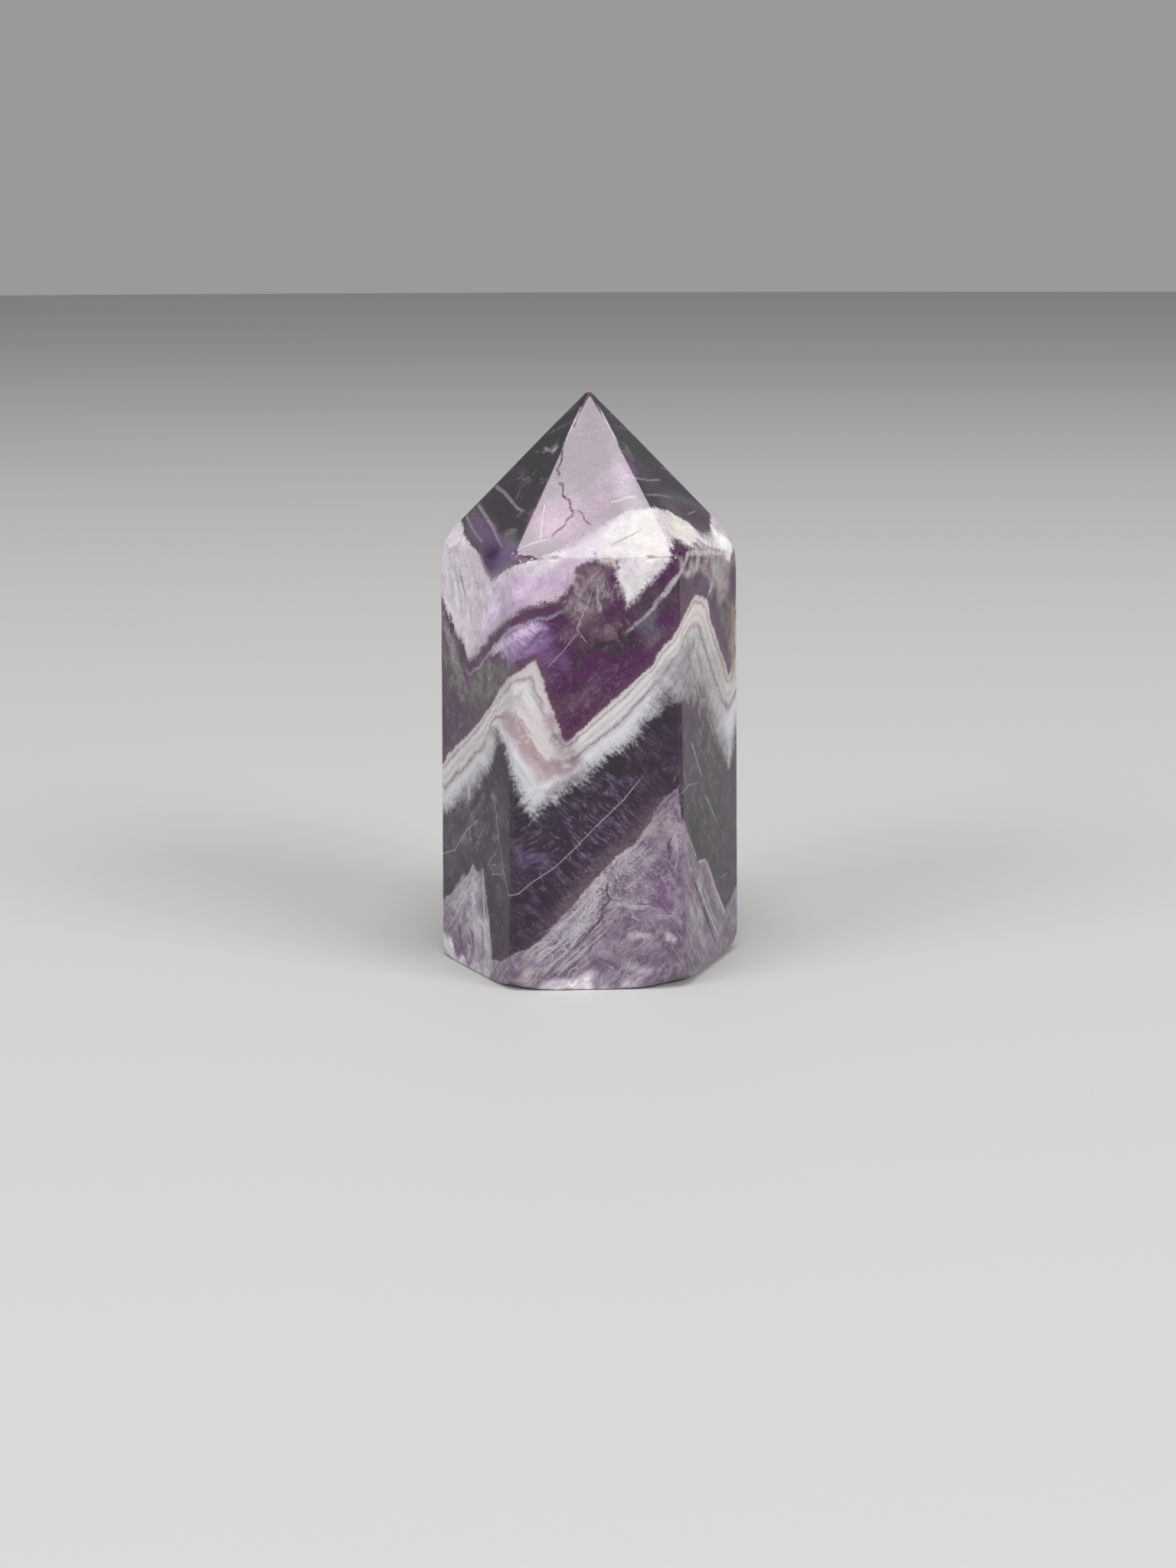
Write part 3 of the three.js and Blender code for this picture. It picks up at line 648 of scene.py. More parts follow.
# The soft boxes: place and size in metres, and radiance.
LIGHTS = {
    "overhead_soft_box": ((0.0, -0.3, 1.0), (0.5, 0.5), 6.6),
    "left_soft_box": ((-1.1, -0.9, 0.9), (0.8, 0.6), 7.0),
    "right_soft_box": ((1.1, -0.9, 0.9), (0.8, 0.6), 9.5),
}


def wrapped(outline):
    """An outline's points in mm, with a copy of the whole outline on either side."""
    points = np.array(outline)
    turns = [points + (FACES * turn, 0) for turn in (-1, 0, 1)]
    return np.concatenate(turns) * (FACE_WIDTH, 1)


def nearest_on_path(places, path):
    """For each place in mm: how far off the path is, the share of it passed, the side, and its direction."""
    start = path[:-1]
    step = path[1:] - start
    length = np.linalg.norm(step, axis=1)
    passed = np.concatenate([[0], np.cumsum(length)])
    best = np.full(len(places), np.inf)
    share = np.zeros(len(places))
    side = np.zeros(len(places))
    direction = np.zeros((len(places), 2))
    for number in range(len(start)):
        offset = places - start[number]
        reached = np.clip(offset @ step[number] / length[number] ** 2, 0, 1)
        gap = offset - reached[:, None] * step[number]
        distance = np.linalg.norm(gap, axis=1)
        closer = distance < best
        best[closer] = distance[closer]
        share[closer] = (passed[number] + reached[closer] * length[number]) / passed[-1]
        cross = step[number][0] * offset[:, 1] - step[number][1] * offset[:, 0]
        side[closer] = np.sign(cross[closer])
        direction[closer] = step[number] / length[number]
    return best, share, side, direction


def height_above(places, outline):
    """Signed distance in mm from an outline that goes round the stone, more than 0 above it."""
    path = wrapped(outline)
    distance = nearest_on_path(places, path)[0]
    level = np.interp(places[:, 0], path[:, 0], path[:, 1])
    return np.where(places[:, 1] > level, distance, -distance)


def simplified(path, tolerance):
    """The path without the points that lie within tolerance of a straight run."""
    if len(path) < 3:
        return path
    offset = path - path[0]
    run = path[-1] - path[0]
    gap = np.abs(run[0] * offset[:, 1] - run[1] * offset[:, 0]) / np.linalg.norm(run)
    corner = int(np.argmax(gap))
    if gap[corner] < tolerance:
        return path[[0, -1]]
    first = simplified(path[:corner + 1], tolerance)
    return np.concatenate([first[:-1], simplified(path[corner:], tolerance)])


def waves(points, wavelength, seed):
    """A smooth random number at each point, mostly from -1 to 1, that changes over that length in mm."""
    dice = np.random.default_rng(seed)
    total = np.zeros(len(points))
    for _ in range(WAVES_EACH):
        way = dice.normal(size=3)
        way *= 2 * math.pi / (np.linalg.norm(way) * wavelength * dice.uniform(*WAVE_SPREAD))
        total += np.sin(points @ way + dice.uniform(0, 2 * math.pi))
    return total / math.sqrt(WAVES_EACH / 2)


def wandering(places, points, kinds):
    """The places, each moved by waves of those kinds, so that what is drawn there isn't quite straight."""
    moved = places.copy()
    for number, (size, wavelength) in enumerate(kinds):
        moved[:, 0] += size * waves(points, wavelength, 2 * number)
        moved[:, 1] += size * waves(points, wavelength, 2 * number + 1)
    return moved


def layer_direction(places, distances):
    """Which way the layers run at each place, as (across the face, up), from the outlines nearest to it."""
    total = np.zeros((len(places), 2))
    for name, outline in OUTLINES.items():
        limbs = simplified(wrapped(outline), LIMB_TOLERANCE)
        _, _, _, direction = nearest_on_path(places, limbs)
        total += direction / (np.abs(distances[name])[:, None] + LIMB_REACH) ** 2
    return total / np.linalg.norm(total, axis=1)[:, None]


def faded_ends(share, parts):
    """1 along a path, but down to 0 over one part in so many of it at either end."""
    return np.clip(np.minimum(share, 1 - share) * parts, 0, 1)


def line_field(places, lines):
    """Nearest of a set of lines: signed distance in mm, how surely the line is there, and its width."""
    nearest = np.full(len(places), np.inf)
    field = np.zeros((len(places), 3))
    for width, strength, points in lines:
        path = np.array(points) * (FACE_WIDTH, 1)
        distance, share, side, _ = nearest_on_path(places, path)
        closer = distance < nearest
        nearest[closer] = distance[closer]
        field[closer, 0] = (side * distance)[closer]
        fade = np.clip((LINE_REACH + width - distance) / LINE_FADE, 0, 1)
        fade *= faded_ends(share, LINE_ENDS)
        field[closer, 1] = strength * fade[closer]
        field[closer, 2] = width
    return field


def sash_fields(places, sashes):
    """The colour of the sashes at each place, and how strong they are there."""
    colour = np.zeros((len(places), 3))
    strength = np.zeros(len(places))
    for half_width, tint, power, points in sashes:
        path = np.array(points) * (FACE_WIDTH, 1)
        distance, share, _, _ = nearest_on_path(places, path)
        cover = power * smooth_step(distance, half_width * SASH_SPREAD + SASH_MARGIN, half_width * SASH_CORE)
        cover *= faded_ends(share, SASH_ENDS)
        under = strength * (1 - cover)
        strength = cover + under
        total = np.maximum(strength, TINY)[:, None]
        colour = (np.array(tint) * cover[:, None] + colour * under[:, None]) / total
    return colour, strength


def cad_planes():
    """The big flats of the CAD node, as unit normals and distances from the origin in mm."""
    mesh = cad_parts[NODE].data
    normals = np.array([polygon.normal for polygon in mesh.polygons])
    centres = np.array([polygon.center for polygon in mesh.polygons]) / MM
    areas = np.array([polygon.area for polygon in mesh.polygons]) / MM ** 2
    planes = []
    used = np.zeros(len(areas), bool)
    for largest in np.argsort(-areas):
        if used[largest]:
            continue
        alike = ~used & (normals @ normals[largest] > SAME_FLAT)
        used |= alike
        if areas[alike].sum() > SMALLEST_FLAT:
            normal = (normals[alike] * areas[alike, None]).sum(0)
            normal /= np.linalg.norm(normal)
            distance = np.average(centres[alike] @ normal, weights=areas[alike])
            planes.append((*normal, distance))
    return np.array(planes)


class Stone:
    """The stone's outer surface: its big flats, met by rounded edges and nicked by small chips."""

    def __init__(self):
        planes = cad_planes()
        turn = np.arctan2(planes[:, 1], planes[:, 0])
        upright = np.abs(planes[:, 2]) < LEVEL_NORMAL
        pointed = planes[:, 2] > LEVEL_NORMAL
        self.sides = self.ordered(planes[upright], turn[upright])
        self.facets = self.ordered(planes[pointed], turn[pointed])
        self.base = planes[planes[:, 2] < DOWN_NORMAL][0]
        self.bites = [self.bite(*chip) for chip in CHIPS]

    @staticmethod
    def ordered(planes, turn):
        """Planes in order round the stone, from the left of the front face to the right."""
        return planes[np.argsort((turn - FIRST_DIRECTION) % (2 * math.pi))]

    @staticmethod
    def corner(planes, number, height):
        """Where a face meets the next one, at a height."""
        first, second = planes[number % FACES], planes[(number + 1) % FACES]
        normals = np.array([first[:2], second[:2]])
        shifts = np.stack([first[3] - first[2] * height, second[3] - second[2] * height])
        return np.linalg.solve(normals, shifts).T

    def edges(self, height):
        """The six corners of the sharp outline at each height, the one left of the first face first."""
        corners = []
        for number in range(-1, FACES - 1):
            low = self.corner(self.sides, number, height)
            high = self.corner(self.facets, number, height)
            nearer = np.linalg.norm(low, axis=1) < np.linalg.norm(high, axis=1)
            corners.append(np.where(nearer[:, None], low, high))
        return np.stack(corners, axis=1)

    def outside(self, places):
        """How far each place is outside the finished surface, in mm. It is negative inside."""
        flats = np.concatenate([self.sides, self.facets, [self.base]])
        gaps = places @ flats[:, :3].T - flats[:, 3]
        column = rounded(gaps[:, :FACES].T, SIDE_EDGE_SOFTNESS)
        point = rounded(gaps[:, FACES:-1].T, ridge_softness(places))
        body = rounded([column, point], shoulder_softness(places))
        surface = rounded([body, gaps[:, -1], *self.turned_corners(places, gaps)], CORNER_SOFTNESS)
        tip = np.linalg.norm(places - (0, 0, HEIGHT - TIP_RADIUS), axis=1) - TIP_RADIUS
        near_tip = places[:, 2] > HEIGHT - TIP_RADIUS / 3
        surface = np.where(near_tip, np.maximum(surface, tip), surface)
        for centre, radius in self.bites:
            surface = np.maximum(surface, radius - np.linalg.norm(places - centre, axis=1))
        return surface

    def turned_corners(self, places, gaps):
        """The larger arcs: along one side of the base, and at corners of the base and of the shoulder."""
        base_gap = gaps[:, -1]
        turned = [turned_corner(gaps[:, WORN_BASE_FACE], base_gap, WORN_BASE_RADIUS)]
        for number, radius in enumerate(BASE_CORNER_RADII):
            following = (number + 1) % FACES
            edge = bevel(self.sides[number], self.sides[following])
            edge_gap = places @ edge[:3] - edge[3]
            turned.append(turned_corner(edge_gap, base_gap, radius))
            if number in SHOULDER_CORNER_SOFTNESS:
                ridge = bevel(self.facets[number], self.facets[following])
                ridge_gap = places @ ridge[:3] - ridge[3]
                turned.append(turned_corner(edge_gap, ridge_gap, SHOULDER_CORNER_SOFTNESS[number]))
        return turned

    def edge_distance(self, places):
        """About how far each place on the surface is from the nearest edge between two flats, in mm."""
        flats = np.concatenate([self.sides, self.facets])
        gaps = np.sort(places @ flats[:, :3].T - flats[:, 3], axis=1)
        return (gaps[:, -1] - gaps[:, -2]) / EDGE_SLOPE

    def on_facet(self, places, face):
        """Whether each place is on a facet of the point, and not on the side below it."""
        facet, side = self.facets[face], self.sides[face]
        facet_gap = (places * facet[:, :3]).sum(1) - facet[:, 3]
        side_gap = (places * side[:, :3]).sum(1) - side[:, 3]
        return facet_gap > side_gap

    def spot(self, around, height):
        """The place on the sharp outline, and which face it is on."""
        corners = self.edges(np.array([height]))[0]
        face = math.floor(around - AROUND_START) % FACES
        share = (around - AROUND_START) % 1
        place = corners[face] * (1 - share) + corners[(face + 1) % FACES] * share
        return Vector((place[0], place[1], height)), face

    def bite(self, around, height, radius, depth):
        """The ball that bites a chip of that depth out of the sharp outline: its centre and radius."""
        place, _ = self.spot(around, height)
        outward = Vector((place.x, place.y, 0)).normalized() + Vector((0, 0, CHIP_RISE))
        centre = place + outward.normalized() * (radius - depth)
        return np.array(centre), radius


def ridge_softness(places):
    """How soft the ridges of the point are at each place. They are blunter near the tip."""
    blunt = smooth_step(places[:, 2], HEIGHT - BLUNT_START, HEIGHT - BLUNT_END)
    return RIDGE_SOFTNESS + (BLUNT_RIDGE_SOFTNESS - RIDGE_SOFTNESS) * blunt


def shoulder_softness(places):
    """How soft the shoulder is at each place. It is crisper at the front and at the back."""
    facing = np.abs(places[:, 1]) / (np.hypot(places[:, 0], places[:, 1]) + TINY)
    worn = smooth_step(facing, CRISP_FACING, WORN_FACING)
    return CRISP_SHOULDER_SOFTNESS + (WORN_SHOULDER_SOFTNESS - CRISP_SHOULDER_SOFTNESS) * worn


def turned_corner(first, second, radius):
    """An arc rolled between two surfaces. Away from it this falls below both, so that they alone count."""
    beyond = np.maximum(-first - radius, 0) + np.maximum(-second - radius, 0)
    return rounded([first, second], radius) - beyond


def smooth_step(value, low, high):
    """Goes smoothly from 0 to 1 as the value goes from low to high."""
    share = np.clip((value - low) / (high - low), 0, 1)
    return share * share * (3 - 2 * share)


def bevel(first, second):
    """The plane that touches the edge between two planes and leans evenly to both."""
    total = first + second
    return total / np.linalg.norm(total[:3])


def rounded(gaps, softness):
    """The outside of several surfaces at once, with the edges between them rounded."""
    gaps = np.array(gaps)
    inner = np.maximum(gaps + softness, 0)
    joined = np.sqrt((inner ** 2).sum(0)) - softness
    return np.where(inner.max(0) > 0, joined, gaps.max(0))


def ring_heights():
    """The heights of the mesh's rings, from the base to just under the tip."""
    heights = [np.linspace(low, high, steps, endpoint=False) for low, high, steps in RING_BANDS]
    return np.concatenate(heights + [[RING_BANDS[-1][1]]])


def column_shares():
    """How far along a face each column of the mesh stands, from 0 at one edge to just short of the next."""
    near = np.linspace(0, EDGE_ZONE, EDGE_STEPS, endpoint=False)
    middle = np.linspace(EDGE_ZONE, 1 - EDGE_ZONE, MIDDLE_STEPS, endpoint=False)
    far = np.linspace(1 - EDGE_ZONE, 1, EDGE_STEPS, endpoint=False)
    return np.concatenate([near, middle, far])


def surface_reach(stone, outward, level):
    """How far the polished surface is from the axis, in each direction and at each height."""
    near = np.zeros(len(level))
    far = np.full(len(level), WIDEST)
    for _ in range(HALVINGS):
        reach = (near + far) / 2
        out = stone.outside(np.column_stack([outward * reach[:, None], level])) > 0
        far = np.where(out, reach, far)
        near = np.where(out, near, reach)
    smooth = np.column_stack([outward * near[:, None], level])
    wave = np.clip(waves(smooth, POLISH_WAVE_LENGTH, POLISH_SEED), -1, 1)
    return near - POLISH_WAVE_DEPTH * (1 + wave) * smooth_step(level, 0, 2 * POLISH_WAVE_LENGTH)


def surface_grid(stone):
    """Rings of points on the stone's surface, with each point's place around and its height."""
    heights = ring_heights()
    shares = column_shares()
    corners = stone.edges(np.maximum(heights, FIRST_HEIGHT))
    around = np.concatenate([AROUND_START + face + shares for face in range(FACES)])
    face = np.repeat(np.arange(FACES), len(shares))
    share = np.tile(shares, FACES)[None, :, None]
    chord = corners[:, face] * (1 - share) + corners[:, (face + 1) % FACES] * share
    outward = (chord / np.linalg.norm(chord, axis=2, keepdims=True)).reshape(-1, 2)
    rings, columns = len(heights), len(around)
    reach = surface_reach(stone, outward, np.repeat(np.maximum(heights, FIRST_HEIGHT), columns))
    places = np.column_stack([outward * reach[:, None], np.repeat(heights, columns)])
    return places, np.tile(around, rings), rings, columns


def build_mesh(stone):
    """The stone's mesh with its base closed, and each vertex's place around and height."""
    places, around, rings, columns = surface_grid(stone)
    heights = places[:, 2].copy()
    cells = np.arange(rings * columns).reshape(rings, columns)
    foot = places[:columns]
    inner = [foot * share for share in BASE_RINGS]
    base_cells = [np.arange(columns) + len(places) + number * columns for number in range(len(inner))]
    tip = len(places) + len(inner) * columns
    middle = tip + 1
    everything = np.concatenate([places, *inner, [[0, 0, HEIGHT], [0, 0, 0]]])
    loops = [cells[row] for row in range(rings)]
    faces = []
    for lower, upper in zip(loops[:-1], loops[1:]):
        faces += ring_faces(lower, upper)
    for outer, next_in in zip([loops[0], *base_cells[:-1]], base_cells):
        faces += ring_faces(next_in, outer)
    faces += fan_faces(loops[-1], tip, False)
    faces += fan_faces(base_cells[-1], middle, True)
    mesh = bpy.data.meshes.new("amethyst_stone")
    mesh.from_pydata((everything * MM).tolist(), [], faces)
    mesh.shade_smooth()
    all_around = np.concatenate([around, *[around[:columns]] * len(inner), [0, 0]])
    all_heights = np.concatenate([heights, np.zeros(len(inner) * columns), [HEIGHT, 0]])
    return mesh, everything, all_around, all_heights


def ring_faces(lower, upper):
    """Four-sided faces between two closed rings of vertices, facing out."""
    quads = np.column_stack([lower, np.roll(lower, -1), np.roll(upper, -1), upper])
    return quads.tolist()


def fan_faces(ring, hub, facing_down):
    """Three-sided faces from a closed ring of vertices to one vertex inside it."""
    ahead = np.roll(ring, -1)
    first, second = (ahead, ring) if facing_down else (ring, ahead)
    return np.column_stack([first, second, np.full(len(ring), hub)]).tolist()


def soft_patch(places, spot):
    """How strongly a soft oval patch covers each place: 1 at its middle and 0 outside it."""
    around, height, wide, tall, tilt = spot
    offset = places - (around * FACE_WIDTH, height)
    whole = FACES * FACE_WIDTH
    offset[:, 0] = (offset[:, 0] + whole / 2) % whole - whole / 2
    turn = math.radians(tilt)
    along = offset @ (math.cos(turn), math.sin(turn)) / wide
    across = offset @ (-math.sin(turn), math.cos(turn)) / tall
    return smooth_step(np.hypot(along, across), 1, PATCH_CORE)


def mixed(first, second, share):
    """Two sets of colours, mixed by a share for each place."""
    return first * (1 - share[:, None]) + second * share[:, None]


def painted(places, base, patches):
    """Colours over the stone: a base, with soft patches laid over it in order."""
    colours = base
    for spot, colour in patches:
        colours = mixed(colours, np.array(colour), soft_patch(places, spot))
    return colours


def strengths(places, base, spots):
    """One number over the stone: a base, with soft patches of other values laid over it in order."""
    values = np.full(len(places), float(base))
    for spot, strength in spots:
        share = soft_patch(places, spot)
        values = values * (1 - share) + strength * share
    return values


def add_field(mesh, name, values):
    """Stores three numbers at each vertex, which the material reads by name."""
    field = mesh.attributes.new(name, "FLOAT_VECTOR", "POINT")
    field.data.foreach_set("vector", np.asarray(values, np.float32).ravel())


class Vertices:
    """Where each vertex of the stone is: its face, its place there, and how far it is from the outlines."""

    def __init__(self, points, around, heights):
        self.points = points
        self.heights = heights
        self.face = np.floor(around - AROUND_START).astype(int) % FACES
        self.straight = np.column_stack([around * FACE_WIDTH, heights])
        self.places = wandering(self.straight, points, OUTLINE_WAVES)
        self.loose = wandering(self.straight, points, PATCH_WAVES)
        self.distances = {name: height_above(self.places, outline) for name, outline in OUTLINES.items()}
        self.in_point = smooth_step(self.distances["lavender_foot"] + self.distances["lavender_top"], *SEAM)


def unrolled(stone, vertices):
    """Millimetres along the face that each vertex is on, counted on from face to face."""
    points = vertices.points
    normals = stone.sides[vertices.face, :2]
    normals /= np.linalg.norm(normals, axis=1)[:, None]
    along = points[:, 1] * normals[:, 0] - points[:, 0] * normals[:, 1]
    return along + (vertices.face - 1) * FACE_WIDTH


def share_across_white(distances):
    """How far up the white layer each vertex is, from 0 at its foot to 1 at its top."""
    above_foot = np.maximum(distances["white_foot"], 0)
    below_top = np.maximum(-distances["white_top"], 0)
    return above_foot / (above_foot + below_top + TINY)


def milky_colours(stone, vertices):
    """The colours of the mottled foot and the layer round the shoulder, and the tint of the white layer."""
    white = np.broadcast_to(WHITE_TINT, vertices.points.shape)
    colours = mixed(white, MOTTLED_BASE, smooth_step(vertices.distances["mottled_top"], *MOTTLED_END))
    in_lavender = smooth_step(vertices.distances["lavender_foot"], *LAVENDER_START)
    colours = painted(vertices.loose, mixed(colours, LAVENDER_BASE, in_lavender), MILKY_PATCHES)
    on_facet = stone.on_facet(vertices.points, vertices.face)
    return colours * np.where(on_facet, FACET_MILKINESS[vertices.face], 1)[:, None]


def clear_colours(vertices):
    """The colours of the dark layer, the violet zone and the clear point."""
    dark = np.broadcast_to(DARK_BASE, vertices.points.shape)
    in_violet = smooth_step(vertices.distances["white_foot"] + vertices.distances["white_top"], *SEAM)
    colours = painted(vertices.loose, mixed(dark, VIOLET_BASE, in_violet), CLEAR_PATCHES)
    facets = painted(vertices.places, FACET_COLOURS[vertices.face], POINT_PATCHES)
    return mixed(colours, facets, vertices.in_point)


def glassiness(vertices):
    """How see-through the clear zones are at each vertex, from 0 to 1."""
    below = strengths(vertices.loose, SIDE_GLASSINESS, GLASSY)
    above = strengths(vertices.places, 0, POINT_GLASSY) + FACET_GLASSINESS[vertices.face]
    return below * (1 - vertices.in_point) + np.clip(above, 0, 1) * vertices.in_point


def store_fields(stone, mesh, vertices):
    """Everything that the material needs to know about each vertex."""
    beside_edge = smooth_step(stone.edge_distance(vertices.points), *WEAR_AND_HIGHLIGHT_REACH)
    sash_colour, sash = sash_fields(vertices.places, SASHES)
    values = {name: strengths(vertices.loose, base, spots) for name, (base, spots) in SPOTS.items()}
    values |= vertices.distances
    values["across_white"] = share_across_white(vertices.distances)
    values["glassy"] = glassiness(vertices)
    values["wear"] = strengths(vertices.places, SIDE_WEAR_AND_HIGHLIGHT, WORN_AND_HIGHLIT_EDGES) * beside_edge
    values["sash"] = sash
    for field, names in STORED.items():
        add_field(mesh, field, np.column_stack([values[name] for name in names]))
    direction = layer_direction(vertices.places, vertices.distances)
    falling = smooth_step(direction[:, 1], *FALLING_TURN)
    add_field(mesh, "unrolled", np.column_stack([unrolled(stone, vertices), vertices.heights, falling]))
    add_field(mesh, "milky", milky_colours(stone, vertices))
    add_field(mesh, "clear", clear_colours(vertices))
    add_field(mesh, "sash_colour", sash_colour)
    add_field(mesh, "pale_line", line_field(vertices.straight, PALE_LINES))
    add_field(mesh, "dark_line", line_field(vertices.straight, DARK_LINES))


class Graph:
    """Shorthand for the nodes of a material. A value may be a number, a colour or another node's socket."""

    def __init__(self, material):
        material.use_nodes = True
        self.nodes = material.node_tree.nodes
        self.links = material.node_tree.links
        self.nodes.clear()

    def plug(self, socket, value):
        """Links a socket to another node's, or sets it to a number or a colour."""
        if isinstance(value, bpy.types.NodeSocket):
            self.links.new(value, socket)
        elif socket.type == "RGBA":
            socket.default_value = (*value, 1)
        else:
            socket.default_value = value

    def node(self, kind, inputs=None, **settings):
        """A new node, with its inputs plugged by name."""
        node = self.nodes.new("ShaderNode" + kind)
        for name, value in settings.items():
            setattr(node, name, value)
        for name, value in (inputs or {}).items():
            self.plug(node.inputs[name], value)
        return node

    def math(self, operation, *values):
        """One number worked out from others."""
        node = self.node("Math", operation=operation)
        for socket, value in zip(node.inputs, values):
            self.plug(socket, value)
        return node.outputs[0]

    def chain(self, operation, values):
        """One operation over all the values, from the first to the last."""
        result = values[0]
        for value in values[1:]:
            result = self.math(operation, result, value)
        return result

    def add(self, *values):
        return self.chain("ADD", values)

    def times(self, *values):
        return self.chain("MULTIPLY", values)

    def most(self, *values):
        return self.chain("MAXIMUM", values)

    def less(self, first, second):
        return self.math("SUBTRACT", first, second)

    def swing(self, noise, size):
        """A number that a noise sways to either side of 0, by up to half the size."""
        return self.times(self.less(noise, 0.5), size)

    def ease(self, value, low, high, start=0.0, end=1.0):
        """Goes smoothly from start to end as the value goes from low to high, and stays there beyond."""
        inputs = {"Value": value, "From Min": low, "From Max": high, "To Min": start, "To Max": end}
        return self.node("MapRange", inputs, interpolation_type="SMOOTHSTEP").outputs["Result"]

    def mix(self, share, first, second):
        """Two numbers mixed by a share."""
        node = self.node("Mix", data_type="FLOAT")
        for number, value in ((0, share), (2, first), (3, second)):
            self.plug(node.inputs[number], value)
        return node.outputs[0]

    def blend(self, share, first, second, mode="MIX"):
        """Two colours mixed by a share."""
        node = self.node("Mix", data_type="RGBA", blend_type=mode)
        for number, value in ((0, share), (6, first), (7, second)):
            self.plug(node.inputs[number], value)
        return node.outputs[2]

    def tinted(self, colour, tint):
        """The colour multiplied by another."""
        return self.blend(1.0, colour, tint, "MULTIPLY")

    def coated(self, colour, *coats):
        """The colour with others laid over it in order. A coat is how much of it there is and its colour."""
        for share, coat in coats:
            colour = self.blend(share, colour, coat)
        return colour

    def scaled(self, vector, factor):
        """The vector, longer or shorter by a factor."""
        node = self.node("VectorMath", operation="SCALE")
        self.plug(node.inputs[0], vector)
        self.plug(node.inputs["Scale"], factor)
        return node.outputs[0]

    def field(self, name):
        """Three numbers that the mesh stores under that name."""
        return self.node("Attribute", attribute_name=name).outputs["Vector"]

    def parts(self, vector):
        """The three numbers of a vector."""
        return self.node("SeparateXYZ", {"Vector": vector}).outputs

    def noise(self, vector, scale, detail=3.0, roughness=0.55, distortion=0.0):
        """A smooth random number at each place."""
        inputs = {"Vector": vector, "Scale": scale, "Detail": detail}
        inputs |= {"Roughness": roughness, "Distortion": distortion}
        return self.node("TexNoise", inputs).outputs[0]

    def shifted(self, vector, scale, size):
        """The vector, moved by up to about half the size each way, by a noise of its own."""
        noise = self.node("TexNoise", {"Vector": vector, "Scale": scale, "Detail": 2.0}).outputs["Color"]
        centred = self.node("VectorMath", operation="SUBTRACT")
        self.plug(centred.inputs[0], noise)
        centred.inputs[1].default_value = (0.5, 0.5, 0.5)
        moved = self.node("VectorMath", operation="ADD")
        self.plug(moved.inputs[0], vector)
        self.plug(moved.inputs[1], self.scaled(centred.outputs[0], size))
        return moved.outputs[0]

    def crest(self, value, middle, width, core=0.0):
        """1 where the value is within the core of the middle, and 0 from the width away."""
        return self.ease(self.math("ABSOLUTE", self.less(value, middle)), width, core)

    def stretched(self, flat, angle, along, across):
        """Noise in streaks. angle is that of a direction on the face, and along and across are how often the
        noise changes in a mm that way and square to it."""
        turn = math.radians(angle)
        ways = ((math.cos(turn), math.sin(turn), 0), (-math.sin(turn), math.cos(turn), 0))
        parts = []
        for way, scale in zip(ways, (along, across)):
            node = self.node("VectorMath", operation="DOT_PRODUCT")
            self.plug(node.inputs[0], flat)
            node.inputs[1].default_value = tuple(scale * part for part in way)
            parts.append(node.outputs["Value"])
        where = self.node("CombineXYZ", {"X": parts[0], "Y": parts[1]}).outputs[0]
        return self.noise(where, 1.0)

    def ramp(self, value, stops):
        """A colour from a row of (value, colour) stops."""
        node = self.node("ValToRGB", {"Fac": value})
        elements = node.color_ramp.elements
        for number, (place, colour) in enumerate(stops):
            element = elements[number] if number < 2 else elements.new(place)
            element.position = place
            element.color = (*colour, 1)
        return node.outputs["Color"]


class Fields:
    """The stored fields and the noises that several parts of the stone's material use."""

    def __init__(self, g):
        place = g.scaled(g.node("TexCoord").outputs["Object"], 1 / MM)
        unrolled_place = g.field("unrolled")
        self.flat = g.shifted(unrolled_place, *STREAK_BEND)
        self.falling = g.parts(unrolled_place)["Z"]
        self.milky = g.field("milky")
        self.clear = g.field("clear")
        self.sash_colour = g.field("sash_colour")
        for field, names in STORED.items():
            for name, part in zip(names, g.parts(g.field(field))):
                setattr(self, name, part)
        for name, settings in NOISES.items():
            setattr(self, name, g.noise(place, *settings))
        self.fibres = self.by_limb(g, *FIBRES)
        self.strands = self.by_limb(g, *STRANDS)

    def by_limb(self, g, along, across):
        """Streaks along the layers, at one angle where they rise to the right and one where they fall."""
        rising = g.stretched(self.flat, RISING_ANGLE, along, across)
        falling = g.stretched(self.flat, FALLING_ANGLE, along, across)
        return g.mix(self.falling, rising, falling)


